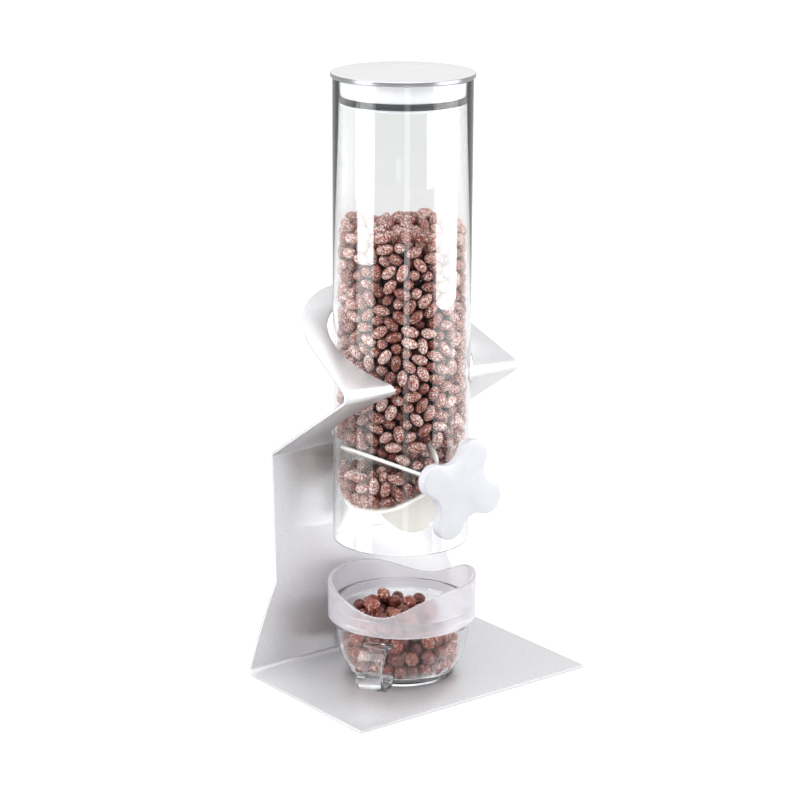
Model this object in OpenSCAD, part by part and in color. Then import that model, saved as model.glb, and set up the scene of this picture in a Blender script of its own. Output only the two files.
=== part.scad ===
// Hand-turned dry food dispenser: a clear canister held in a folded steel stand,
// emptied by a six-blade portion wheel on a knob, into a cup on the base plate.
// +X is the right-hand side, -Y is the front (knob side), +Z is up.
// The parts are drawn round the canister's axis, then moved so that the origin is on the floor,
// under the middle of the whole outline.

/* [Stand] */
// Width of the base plate
base_w = 187.5; // [170:0.5:210]
// Distance from the canister's axis to the front edge of the base
base_front = 80.7; // [75:0.1:95]
// Width of the upright panel and of both arms
strip_w = 140.4; // [126:0.1:150]
// Thickness of the steel sheet
sheet_t = 2; // [1.5:0.1:2]
// Height at which the panel has narrowed to the strip's width
waist_h = 61; // [50:1:80]
// Thickness of the rubber pads under the base
pad_h = 1; // [1:0.1:2]

/* [Canister] */
// Outer diameter of the canister tube
tube_d = 90; // [89:0.1:90]
// Wall of the canister tube
tube_wall = 2.5; // [2.4:0.1:3]
// Height of the tube's open bottom end
tube_bottom = 92; // [92:1:94]
// Height of the tube's rim, under the lid
tube_top = 397.9; // [330:0.1:450]

/* [Portion wheel] */
// Height of the wheel's axis
wheel_z = 139.7; // [137:0.1:141]
// Direction of the first blade, anticlockwise from +X seen from the front
blade_start = 154; // [150:1:158]
// Thickness of a blade
blade_t = 2.2; // [1.2:0.1:3]
// Diameter of the drive shaft
shaft_d = 5; // [4:0.1:6]

/* [Knob] */
// Thickness of the knob
knob_t = 8; // [5:0.5:9]
// Distance from the canister's axis to the knob's front face
knob_front = 66; // [62:0.1:70]
// Distance from the shaft to the middle of each lobe
lobe_reach = 23; // [21:0.5:26]
// Radius of each lobe
lobe_r = 10.8; // [10:0.1:13]
// Turn of the knob's first lobe below +X
knob_turn = -24; // [-45:1:45]

/* [Cup] */
// Outer diameter of the frosted collar
cup_d = 98; // [94:0.5:100]
// Distance of the cup's axis to the left of the canister's axis
cup_left = 8; // [0:1:10]
// Distance of the cup's axis in front of the canister's axis
cup_ahead = 12; // [5:1:14]
// Direction of the cup's handle, anticlockwise from +X seen from above
handle_turn = -147; // [-165:1:-135]
// Height of the lowest points of the wavy rim
rim_low = 55.6; // [54:0.1:58]
// Height of the wavy rim on its high side
rim_high = 71.5; // [64:0.1:73]
// Height of the wavy rim on the other side
rim_mid = 66.5; // [60:0.1:70]

/* [Hidden] */
$fn = 96;
eps = 0.01;

// Stand: the corners of the sheet's middle line as [y, z], from the front of the base to the
// rear of the upper arm, and the middle-line radius of the bend at each corner
mid = sheet_t / 2;
fold_base_y = 42.7;
fold_low = [48.2, 149.1];
fold_nose = [-37.4, 205.07];
upper_slope = 0.45;
upper_run = 120;
path = [[-base_front, pad_h + mid], [fold_base_y, pad_h + mid], fold_low, fold_nose,
        fold_nose + upper_run * [1, upper_slope]];
bend_r = [0, 5, 3, 4.3, 0];
bend_steps = 10;
flare_steps = 20;
flare_bow = 5;
plate_top = pad_h + sheet_t;
arm_hole_r = tube_d / 2 + 0.5;
arm_hole_low = 145;
ring_hole_r = tube_d / 2 + 2.5;
ring_hole_y = 1.5;
ring_edge_r = 64.8;
pad_r = 7;
pad_inset = 14;
rear_pad_y = 22;
axis_y = (base_front - ring_edge_r) / 2;

// Canister
tube_r = tube_d / 2;
bore_r = tube_r - tube_wall;

// Bushings: a flange inside the tube, a sleeve through its wall and a nut outside
sleeve_r = 4.5;
flange_r = 6.5;
flange_t = 2;
flange_y = bore_r - 0.6;
nut_r = 7.4;
nut_t = 3.2;
running_gap = 0.05;
hole_gap = 0.1;
spacer_r = 7;
spacer_t = 1.4;
front_sleeve_end = tube_r + 3.8;
rear_nut_y = 49.3;
rear_sleeve_end = rear_nut_y + nut_t + 0.3;

// Portion wheel
blade_count = 6;
hub_r = 5;
blade_r = bore_r - 0.5;
wheel_half = flange_y - flange_t - 0.5;
clip_t = 0.8;
clip_r = 4.4;
clip_y = rear_sleeve_end + 0.2;
shaft_rear = clip_y + clip_t + 0.6;

// Knob: lobes on a round body, with hollow flanks between them
lobes = 4;
flank_r = 12;
boss_r = 7;
boss_end = front_sleeve_end + 0.4;
knob_back = knob_front - knob_t;
knob_skin = 3;
screw_r = 1.5;
screw_l = 4.2;

// Lid
lid_r = 46.4;
lid_t = 3.1;
lid_round = 1.2;
plug_r = bore_r - 1.5;
plug_depth = 17.5;
seal_top = tube_top - 11.5;
seal_h = 4;
seal_r = bore_r - 0.3;
seal_seat_r = 39;

// Cup: its own frame has the handle along +X and its axis on Z
cup_z = plate_top + 0.2;
cup_r = cup_d / 2;
collar_t = 2.6;
glue_gap = 0.05;
collar_low = 42;
bowl_top = 51;
foot_r = 35.3;
foot_h = 6;
bowl_wall = 2.5;
head_r = cup_r - collar_t - glue_gap;
belly_r = 44.5;
handle_w = 18;
handle_out_r = 15.5;
handle_band = 3;
handle_z = 22.5;
handle_x = 50;

function unit(v) = v / norm(v);
function normal(v) = [-v[1], v[0]];
function leg_dir(i) = unit(path[i + 1] - path[i]);
function turn_at(i) = acos(leg_dir(i - 1) * leg_dir(i));
// which way the sheet turns at corner i: 1 to the left of its run, -1 to the right
function side_at(i) = sign(leg_dir(i - 1)[0] * leg_dir(i)[1] - leg_dir(i - 1)[1] * leg_dir(i)[0]);
function bend_mid(i) = path[i] - leg_dir(i - 1) * bend_r[i] * tan(turn_at(i) / 2)
    + side_at(i) * normal(leg_dir(i - 1)) * bend_r[i];
// points of the line that runs at the distance d to the left of the sheet's middle line
function bend_points(i, d) =
    let (from = -side_at(i) * normal(leg_dir(i - 1)), start = atan2(from[1], from[0]))
    [for (k = [0:bend_steps]) let (a = start + side_at(i) * turn_at(i) * k / bend_steps)
        bend_mid(i) + (bend_r[i] - side_at(i) * d) * [cos(a), sin(a)]];
function run_points(d) = concat(
    [path[0] + d * normal(leg_dir(0))],
    [for (i = [1:3]) each bend_points(i, d)],
    [path[4] + d * normal(leg_dir(3))]);
function reversed(v) = [for (k = [len(v) - 1:-1:0]) v[k]];
// half-width of the panel at the part u of the way from its waist down to the base plate:
// a slanted edge with a slight outward bow
function flare(u) = strip_w / 2 + (base_w - strip_w) / 2 * u + flare_bow * u * (1 - u);

// side view of the folded sheet, drawn as [y, z] and stood up across the base's width
module folded_strip() translate([-base_w / 2, 0, 0]) rotate([90, 0, 90]) linear_extrude(base_w)
    polygon(concat(run_points(mid), reversed(run_points(-mid))));

// front view of the stand: the flared foot of the panel and the straight strip above it
module front_outline() {
    side = concat([[base_w / 2, -1]],
                  [for (k = [0:flare_steps]) let (u = 1 - k / flare_steps)
                      [flare(u), waist_h + (plate_top - waist_h) * u]],
                  [[strip_w / 2, tube_top]]);
    polygon(concat(side, reversed([for (p = side) [-p[0], p[1]]])));
}

// plan of the upper arm: straight sides from the nose that run on to a round rear edge
module ring_outline() {
    corner = [strip_w / 2, fold_nose[0] + 6];
    a = atan2(corner[1], corner[0]) + acos(ring_edge_r / norm(corner));
    touch = ring_edge_r * [cos(a), sin(a)];
    front = [strip_w / 2, fold_nose[0] - 10];
    circle(ring_edge_r);
    polygon([front, corner, touch, [-touch[0], touch[1]], [-corner[0], corner[1]],
             [-front[0], front[1]]]);
}

module stand_sheet() color("silver") difference() {
    intersection() {
        folded_strip();
        rotate([90, 0, 0]) linear_extrude(2 * base_w, center = true) front_outline();
        union() {
            translate([-base_w, -base_w, -1]) cube([2 * base_w, 2 * base_w, fold_nose[1] + 1]);
            translate([0, 0, fold_nose[1] - 5]) linear_extrude(100) ring_outline();
        }
    }
    translate([0, 0, arm_hole_low]) cylinder(r = arm_hole_r, h = fold_nose[1] - arm_hole_low + 1);
    translate([0, ring_hole_y, fold_nose[1]]) cylinder(r = ring_hole_r, h = 100);
    translate([0, 60, wheel_z]) rotate([90, 0, 0]) cylinder(r = sleeve_r + hole_gap, h = 30);
}

// a pad under one corner of the base; sx and sy are -1 or 1
module foot_pad(sx, sy) color("dimgray")
    translate([sx * (base_w / 2 - pad_inset), sy < 0 ? pad_inset - base_front : rear_pad_y, 0])
        cylinder(r = pad_r, h = pad_h);

module canister_tube() color("aliceblue", 0.35) difference() {
    translate([0, 0, tube_bottom]) cylinder(r = tube_r, h = tube_top - tube_bottom, $fn = 180);
    translate([0, 0, tube_bottom - 1]) cylinder(r = bore_r, h = tube_top - tube_bottom + 2, $fn = 180);
    translate([0, 60, wheel_z]) rotate([90, 0, 0]) cylinder(r = sleeve_r + hole_gap, h = 120);
}

// turns a shape drawn along +Z to lie along -Y at the wheel's axis; side is -1 front, 1 rear
module on_axis(side = -1) translate([0, 0, wheel_z]) rotate([side < 0 ? 90 : -90, 0, 0]) children();

// flanged sleeve bearing that the shaft turns in; it ends sleeve_end from the canister's axis
module bushing(side, sleeve_end) color("gainsboro") on_axis(side) difference() {
    union() {
        translate([0, 0, flange_y - flange_t]) cylinder(r = flange_r, h = flange_t);
        translate([0, 0, flange_y - eps]) cylinder(r = sleeve_r, h = sleeve_end - flange_y + eps);
    }
    translate([0, 0, flange_y - flange_t - 1]) cylinder(d = shaft_d + 2 * running_gap, h = 40);
}

module bushing_nut(side, y) color("silver") on_axis(side) translate([0, 0, y]) difference() {
    cylinder(r = nut_r, h = nut_t, $fn = 6);
    translate([0, 0, -1]) cylinder(r = sleeve_r, h = nut_t + 2);
}

// ring that fills the space between the tube and the leaning panel
module rear_spacer() color("gainsboro") on_axis(1) translate([0, 0, tube_r + running_gap]) difference() {
    cylinder(r = spacer_r, h = spacer_t);
    translate([0, 0, -1]) cylinder(r = sleeve_r, h = spacer_t + 2);
}

module drive_shaft() color("lightgray") on_axis(-1)
    translate([0, 0, -shaft_rear]) cylinder(d = shaft_d, h = shaft_rear + knob_front - knob_skin);

module rotor_hub() color("whitesmoke") on_axis(-1) difference() {
    translate([0, 0, -wheel_half]) cylinder(r = hub_r, h = 2 * wheel_half);
    translate([0, 0, -wheel_half - 1]) cylinder(d = shaft_d, h = 2 * wheel_half + 2);
}

// half-disc blade number k, from 0; its rim sweeps a ball inside the tube
module blade(k) color("ivory") difference() {
    intersection() {
        translate([0, 0, wheel_z]) rotate([0, -blade_start - k * 360 / blade_count, 0])
            intersection() {
                linear_extrude(blade_t, center = true) circle(blade_r, $fn = 180);
                translate([0, -blade_r, -blade_t]) cube([2 * blade_r, 2 * blade_r, 2 * blade_t]);
            }
        translate([-blade_r, -wheel_half, wheel_z - blade_r])
            cube([2 * blade_r, 2 * wheel_half, 2 * blade_r]);
    }
    on_axis(-1) translate([0, 0, -blade_r]) cylinder(r = hub_r, h = 2 * blade_r);
}

// front view of the knob: lobes joined by a core, with a hollow flank between neighbours
module knob_outline() {
    half = 180 / lobes;
    // a flank circle touches the two lobes beside it from outside
    flank_mid = lobe_reach * cos(half)
        + sqrt(pow(lobe_r + flank_r, 2) - pow(lobe_reach * sin(half), 2));
    web = flank_mid * cos(half);
    difference() {
        union() {
            circle(lobe_reach * cos(half) + 1);
            for (k = [0:lobes - 1]) rotate(k * 2 * half) {
                translate([lobe_reach, 0]) circle(lobe_r);
                polygon([[0, 0], [lobe_reach, 0], flank_mid * [cos(half), sin(half)]]);
                polygon([[0, 0], [lobe_reach, 0], flank_mid * [cos(half), -sin(half)]]);
            }
        }
        for (k = [0:lobes - 1]) rotate((2 * k + 1) * half) translate([flank_mid, 0]) circle(flank_r);
    }
}

module knob() color("white") on_axis(-1) rotate(knob_turn) difference() {
    union() {
        translate([0, 0, knob_back]) linear_extrude(knob_t) knob_outline();
        translate([0, 0, boss_end]) cylinder(r = boss_r, h = knob_back - boss_end + eps);
    }
    translate([0, 0, boss_end - 1])
        cylinder(d = shaft_d + 2 * running_gap, h = knob_front - knob_skin - boss_end + 1.1);
    translate([0, 0, (boss_end + knob_back) / 2]) rotate([0, -90, 0])
        cylinder(r = screw_r, h = boss_r + 1);
}

module knob_set_screw() color("gray") on_axis(-1) rotate(knob_turn)
    translate([0, 0, (boss_end + knob_back) / 2]) rotate([0, -90, 0])
        translate([0, 0, shaft_d / 2 + running_gap]) cylinder(r = screw_r - running_gap, h = screw_l);

module shaft_clip() color("dimgray") on_axis(1) translate([0, 0, clip_y]) difference() {
    cylinder(r = clip_r, h = clip_t);
    translate([0, 0, -1]) cylinder(d = shaft_d, h = clip_t + 2);
}

module lid_cap() color("gainsboro") translate([0, 0, tube_top]) rotate_extrude($fn = 180)
    polygon([[0, 0], [lid_r - 0.4, 0], [lid_r, 0.4], [lid_r, lid_t - lid_round],
             [lid_r - lid_round, lid_t], [0, lid_t]]);

module lid_plug() color("whitesmoke") rotate_extrude($fn = 180)
    polygon([[0, tube_top - plug_depth], [plug_r - 1, tube_top - plug_depth],
             [plug_r, tube_top - plug_depth + 1], [plug_r, seal_top - seal_h],
             [seal_seat_r, seal_top - seal_h], [seal_seat_r, seal_top], [plug_r, seal_top],
             [plug_r, tube_top], [0, tube_top]]);

module lid_seal() color("dimgray") translate([0, 0, seal_top - seal_h]) difference() {
    cylinder(r = seal_r, h = seal_h, $fn = 180);
    translate([0, 0, -1]) cylinder(r = seal_seat_r, h = seal_h + 2, $fn = 180);
}

// places a shape from the cup's own frame
module at_cup() translate([-cup_left, -cup_ahead, 0]) rotate(handle_turn) children();

// outline of the bowl's outside, as [radius, height] from the foot up; pull moves it inwards
function bowl_side(pull) = [
    for (a = [0:10:90]) [foot_r + (belly_r - foot_r) * sin(a) - pull,
                         cup_z + foot_h + (collar_low - cup_z - foot_h) * (1 - cos(a))]];

module cup_bowl() color("aliceblue", 0.4) at_cup() rotate_extrude($fn = 144) difference() {
    polygon(concat([[0, cup_z], [foot_r, cup_z]], bowl_side(0),
                   [[head_r, collar_low + 2], [head_r, bowl_top], [0, bowl_top]]));
    polygon(concat([[0, cup_z + foot_h + 0.5]], [for (p = bowl_side(bowl_wall)) p + [0, 0.5]],
                   [[head_r - bowl_wall, collar_low + 3], [head_r - bowl_wall, bowl_top + 1],
                    [0, bowl_top + 1]]));
}

// height of the rim at the distance y from the plane through the handle: two narrow dips,
// over the handle and opposite it, between two broad crests
function rim_z(y) = rim_low
    + ((y > 0 ? rim_high : rim_mid) - rim_low) * (1 - pow(1 - pow(y / cup_r, 2), 3));

module cup_collar() color("lavender", 0.6) at_cup() difference() {
    translate([0, 0, collar_low]) cylinder(r = cup_r, h = rim_high - collar_low, $fn = 144);
    translate([0, 0, collar_low - 1]) cylinder(r = cup_r - collar_t, h = 60, $fn = 144);
    rotate([90, 0, 90]) linear_extrude(3 * cup_r, center = true)
        polygon(concat([[-cup_r, 100]], [for (k = [-18:18]) [k * cup_r / 18, rim_z(k * cup_r / 18)]],
                       [[cup_r, 100]]));
}

// flat-band ring that stands out from the bowl, trimmed to the bowl's outside
module cup_handle() color("aliceblue", 0.4) at_cup() difference() {
    translate([handle_x, 0, handle_z]) rotate([90, 0, 0]) difference() {
        cylinder(r = handle_out_r, h = handle_w, center = true);
        cylinder(r = handle_out_r - handle_band, h = handle_w + 2, center = true);
    }
    rotate_extrude($fn = 144)
        polygon(concat([[0, 0], [foot_r, 0]], bowl_side(0), [[belly_r, 80], [0, 80]]));
}

// moves a part from the canister's axis to the whole object's frame
module centred() translate([0, axis_y, 0]) children();

centred() stand_sheet();
centred() foot_pad(-1, -1);  // foot_pad_front_left
centred() foot_pad(1, -1);  // foot_pad_front_right
centred() foot_pad(-1, 1);  // foot_pad_rear_left
centred() foot_pad(1, 1);  // foot_pad_rear_right
centred() canister_tube();
centred() bushing(-1, front_sleeve_end);  // front_bushing
centred() bushing_nut(-1, tube_r + 0.1);  // front_bushing_nut
centred() bushing(1, rear_sleeve_end);  // rear_bushing
centred() rear_spacer();
centred() bushing_nut(1, rear_nut_y);  // rear_bushing_nut
centred() drive_shaft();
centred() rotor_hub();
centred() blade(0);  // blade_1
centred() blade(1);  // blade_2
centred() blade(2);  // blade_3
centred() blade(3);  // blade_4
centred() blade(4);  // blade_5
centred() blade(5);  // blade_6
centred() knob();
centred() knob_set_screw();
centred() shaft_clip();
centred() lid_cap();
centred() lid_plug();
centred() lid_seal();
centred() cup_bowl();
centred() cup_collar();
centred() cup_handle();
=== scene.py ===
import functools
import logging
import math
from dataclasses import dataclass
from enum import Enum
from typing import Any, Callable, Mapping, Sequence

import bmesh
import bpy
import numpy as np
from mathutils import Matrix, Vector


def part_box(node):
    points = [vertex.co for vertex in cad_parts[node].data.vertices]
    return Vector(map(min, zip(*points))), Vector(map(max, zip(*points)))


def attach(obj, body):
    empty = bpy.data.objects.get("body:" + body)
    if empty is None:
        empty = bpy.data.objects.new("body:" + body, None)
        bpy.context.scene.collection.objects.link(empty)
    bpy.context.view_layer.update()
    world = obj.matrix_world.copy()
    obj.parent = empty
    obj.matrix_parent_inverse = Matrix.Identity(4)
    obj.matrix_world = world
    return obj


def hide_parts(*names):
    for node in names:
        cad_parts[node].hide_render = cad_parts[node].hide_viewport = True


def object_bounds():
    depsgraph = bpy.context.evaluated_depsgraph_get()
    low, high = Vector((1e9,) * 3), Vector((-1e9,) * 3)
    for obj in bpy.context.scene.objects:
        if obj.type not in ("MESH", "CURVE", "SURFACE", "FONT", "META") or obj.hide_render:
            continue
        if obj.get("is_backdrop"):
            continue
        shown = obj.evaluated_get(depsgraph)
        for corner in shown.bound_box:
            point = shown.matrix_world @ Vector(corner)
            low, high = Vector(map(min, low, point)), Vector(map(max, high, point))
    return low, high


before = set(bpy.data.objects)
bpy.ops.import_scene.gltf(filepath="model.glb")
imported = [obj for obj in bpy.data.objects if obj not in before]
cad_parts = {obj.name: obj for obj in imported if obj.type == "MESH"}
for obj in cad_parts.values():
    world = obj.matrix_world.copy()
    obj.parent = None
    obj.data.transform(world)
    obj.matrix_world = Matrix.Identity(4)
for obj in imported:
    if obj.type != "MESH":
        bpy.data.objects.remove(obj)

LOG = logging.getLogger("dispenser")
MM = 0.001
AXIS_Y = 7.95
WHEEL_Z = 139.7

Array = np.ndarray


class Body(Enum):
    """The moving groups of the frame."""

    STAND = "stand"
    WHEEL = "wheel"
    LID = "lid"
    CUP = "cup"


class Slot(Enum):
    """The record's material slots."""

    STEEL = "stand_steel"
    PAD = "pad_rubber"
    CLEAR = "clear_acrylic"
    FROSTED = "frosted_acrylic"
    BEARING = "bearing_plastic"
    BRIGHT = "bright_steel"
    BLADE = "blade_silicone"
    KNOB = "knob_plastic"
    LID = "lid_metal"
    PLUG = "plug_plastic"
    SEAL = "seal_rubber"


# ---------------------------------------------------------------- shapes


@dataclass
class Surface:
    """A mesh as arrays: points in millimetres from the canister's axis and the floor, and faces.

    Fields:
        points: (n, 3) coordinates.
        quads: (m, 4) point numbers of each four-sided face.
        tones: one number from 0 to 1 per point, for finishes that vary from grain to grain, and for painted
            shade.
    """

    points: Array
    quads: Array
    tones: Array | None = None

    def volume(self) -> float:
        """Enclosed volume: the sum over the faces' two triangles of a.(b x c) / 6."""
        p = self.points
        total = 0.0
        for picks in ((0, 1, 2), (0, 2, 3)):
            a, b, c = (p[self.quads[:, k]] for k in picks)
            total += float(np.einsum("ij,ij->i", a, np.cross(b, c)).sum()) / 6.0
        return total

    def outward(self) -> "Surface":
        """The same closed surface with its faces pointing outwards."""
        if self.volume() < 0:
            return Surface(self.points, self.quads[:, ::-1], self.tones)
        return self

    def moved(self, turn: Array | None = None, shift: Sequence[float] = (0, 0, 0)) -> "Surface":
        """The surface turned by a 3 x 3 matrix, then shifted."""
        p = self.points if turn is None else self.points @ np.asarray(turn, float).T
        return Surface(p + np.asarray(shift, float), self.quads, self.tones)


def joined(parts: Sequence[Surface]) -> Surface:
    """Several closed surfaces as one, each keeping its own points."""
    starts = np.cumsum([0] + [len(s.points) for s in parts[:-1]])
    tones = [s.tones if s.tones is not None else np.zeros(len(s.points)) for s in parts]
    return Surface(
        np.concatenate([s.points for s in parts]),
        np.concatenate([s.quads + k for s, k in zip(parts, starts)]),
        np.concatenate(tones),
    )


def grid_faces(rows: int, columns: int, closed_rows: bool, closed_columns: bool) -> Array:
    """Four-sided faces of a grid of points, numbered row by row.

    Args:
        rows: number of rows of points.
        columns: number of points in a row.
        closed_rows: True if the last row joins the first.
        closed_columns: True if a row's last point joins its first.

    Returns:
        (m, 4) point numbers: here, next in the row, next in the next row, below.
    """
    i = np.arange(rows if closed_rows else rows - 1)[:, None]
    j = np.arange(columns if closed_columns else columns - 1)[None, :]
    i2, j2 = (i + 1) % rows, (j + 1) % columns
    corners = (i * columns + j, i * columns + j2, i2 * columns + j2, i2 * columns + j)
    return np.stack([c.reshape(-1) for c in np.broadcast_arrays(*corners)], axis=1)


def rounded(points: Sequence[Sequence[float]], radius: float | Sequence[float], steps: int = 5) -> Array:
    """A closed outline with an arc at each corner.

    The arc touches both sides at radius / tan(half the corner's angle) from the corner, at most
    0.48 of the shorter side, and its points are turned evenly about its centre from one touching
    point to the other.

    Args:
        points: corners as (across, up), in order.
        radius: arc radius, one for all or one per corner.
        steps: segments in each arc.

    Returns:
        (corners * (steps + 1), 2) points.
    """
    p = np.asarray(points, float)
    r = np.broadcast_to(np.asarray(radius, float), len(p))
    a, b = np.roll(p, 1, 0) - p, np.roll(p, -1, 0) - p
    la, lb = np.linalg.norm(a, axis=1), np.linalg.norm(b, axis=1)
    ua, ub = a / la[:, None], b / lb[:, None]
    half = 0.5 * np.arccos(np.clip((ua * ub).sum(1), -1, 1))
    cut = np.minimum(r / np.tan(half), 0.48 * np.minimum(la, lb))
    way = ua + ub
    way = way / np.maximum(np.linalg.norm(way, axis=1), 1e-9)[:, None]
    centre = p + way * (cut / np.maximum(np.cos(half), 1e-9))[:, None]
    turn = np.maximum(math.pi - 2 * half, 1e-4)[:, None, None]
    t = np.linspace(0, 1, steps + 1)[None, :, None]
    start = (p + ua * cut[:, None] - centre)[:, None]
    end = (p + ub * cut[:, None] - centre)[:, None]
    arc = (np.sin((1 - t) * turn) * start + np.sin(t * turn) * end) / np.sin(turn)
    flat = ((r < 1e-6) | (cut < 1e-6))[:, None, None]
    arc = np.where(flat, p[:, None], centre[:, None] + arc)
    return arc.reshape(-1, 2)


def revolve(profile: Array, segments: int = 160) -> Surface:
    """A closed profile carried once round the Z axis: (r cos a, r sin a, z) for each angle a."""
    a = np.linspace(0, 2 * math.pi, segments, endpoint=False)[:, None]
    r, z = profile[None, :, 0], profile[None, :, 1]
    p = np.stack([r * np.cos(a), r * np.sin(a), np.broadcast_to(z, (segments, len(profile)))], axis=2)
    return Surface(p.reshape(-1, 3), grid_faces(segments, len(profile), True, True)).outward()


def on_wheel_axis(surface: Surface, side: int = -1) -> Surface:
    """A shape drawn along +Z, laid along the wheel's axis towards the front (-1) or rear (1)."""
    turn = [[1, 0, 0], [0, 0, side], [0, -side, 0]]
    return surface.moved(np.array(turn, float), (0, 0, WHEEL_Z))


def turned(degrees: float) -> Array:
    """Matrix of a turn about Z, anticlockwise seen from above."""
    c, s = math.cos(math.radians(degrees)), math.sin(math.radians(degrees))
    return np.array([[c, -s, 0], [s, c, 0], [0, 0, 1]])


# ---------------------------------------------------------------- finishes


def linear(code: str) -> tuple[float, float, float, float]:
    """An sRGB hex colour as linear red, green, blue and alpha 1.

    Each channel x becomes x / 12.92 under 0.04045, and ((x + 0.055) / 1.055) ** 2.4 above it.
    """
    raw = [int(code[k : k + 2], 16) / 255 for k in (1, 3, 5)]
    r, g, b = (x / 12.92 if x <= 0.04045 else ((x + 0.055) / 1.055) ** 2.4 for x in raw)
    return (r, g, b, 1.0)


def per_unit(size_mm: float) -> float:
    """Scale of a pattern on Object coordinates, in metres, whose cells are size_mm across."""
    return 1.0 / (size_mm * MM)


def add_node(
    tree: bpy.types.NodeTree,
    kind: str,
    settings: Mapping[str, Any] | None = None,
    values: Mapping[Any, Any] | None = None,
    links: Mapping[Any, bpy.types.NodeSocket] | None = None,
    stops: Sequence[tuple[float, tuple[float, float, float, float]]] = (),
) -> bpy.types.Node:
    """Adds one node.

    Args:
        tree: the node tree.
        kind: the node's type name.
        settings: properties of the node.
        values: values set on its own sockets, by name or number.
        links: sockets that feed its inputs, by name or number.
        stops: places and colours of a colour ramp.

    Returns:
        The node.
    """
    node = tree.nodes.new(kind)
    for key, value in (settings or {}).items():
        setattr(node, key, value)
    for key, value in (values or {}).items():
        node.inputs[key].default_value = value
    for key, socket in (links or {}).items():
        tree.links.new(socket, node.inputs[key])
    for k, (place, colour) in enumerate(stops):
        stop = node.color_ramp.elements[k] if k < 2 else node.color_ramp.elements.new(place)
        stop.position, stop.color = place, colour
    return node


@dataclass(frozen=True)
class Finish:
    """A material and what gives it its look. Each finish fills in its own nodes."""

    name: str
    slot: Slot | None

    def fill(self, tree: bpy.types.NodeTree, place: bpy.types.NodeSocket) -> bpy.types.NodeSocket:
        """Adds the nodes; returns the shader socket that the surface shows."""
        raise NotImplementedError


@functools.lru_cache(maxsize=None)
def material_of(finish: Finish) -> bpy.types.Material:
    """The Blender material of a finish, made once."""
    material = bpy.data.materials.new(finish.name)
    material.use_nodes = True
    tree = material.node_tree
    tree.nodes.clear()
    place = add_node(tree, "ShaderNodeTexCoord").outputs["Object"]
    shader = finish.fill(tree, place)
    add_node(tree, "ShaderNodeOutputMaterial", links={"Surface": shader})
    return material


@dataclass(frozen=True)
class SatinMetal(Finish):
    """Rolled metal with a fine blasted grain under a clear satin finish: soft, wide reflections
    with a faint sparkle, and slow changes of gloss where the sheet has been handled. Wherever the
    piece's tone is 1, a darker colour is painted in as shade along the edge."""

    colour: str = "#D4D4D6"
    shade: str = "#C6C6C9"
    roughness: tuple[float, float] = (0.27, 0.36)
    grain_mm: float = 0.7
    bump_mm: float = 0.012
    cloud_mm: float = 45.0
    metallic: float = 1.0
    # Painted shade: the darker colour painted along an edge where the tone is 1.
    painted_rim_shade: str = ""

    def fill(self, tree: bpy.types.NodeTree, place: bpy.types.NodeSocket) -> bpy.types.NodeSocket:
        """Grain as a fine bump, clouds as gloss and colour."""
        grain = add_node(tree, "ShaderNodeTexNoise", values={"Scale": per_unit(self.grain_mm), "Detail": 2.0},
                         links={"Vector": place})
        cloud = add_node(tree, "ShaderNodeTexNoise", values={"Scale": per_unit(self.cloud_mm), "Detail": 3.0},
                         links={"Vector": place})
        gloss = add_node(tree, "ShaderNodeMapRange", values={"From Min": 0.3, "From Max": 0.7,
                         "To Min": self.roughness[0], "To Max": self.roughness[1]},
                         links={"Value": cloud.outputs["Fac"]})
        tint = add_node(tree, "ShaderNodeValToRGB", links={"Fac": grain.outputs["Fac"]},
                        stops=((0.35, linear(self.shade)), (0.62, linear(self.colour)))).outputs["Color"]
        # Painted shade: where the tone is 1, the tint turns to the darker edge colour.
        if self.painted_rim_shade:
            edge = add_node(tree, "ShaderNodeAttribute", settings={"attribute_name": "tone"})
            tint = add_node(tree, "ShaderNodeMix", settings={"data_type": "RGBA"},
                            values={7: linear(self.painted_rim_shade)},
                            links={0: edge.outputs["Fac"], 6: tint}).outputs[2]
        bump = add_node(tree, "ShaderNodeBump", values={"Strength": 0.35, "Distance": self.bump_mm * MM},
                        links={"Height": grain.outputs["Fac"]})
        return add_node(tree, "ShaderNodeBsdfPrincipled", values={"Metallic": self.metallic},
                        links={"Base Color": tint, "Roughness": gloss.outputs["Result"],
                               "Normal": bump.outputs["Normal"]}).outputs["BSDF"]


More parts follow.
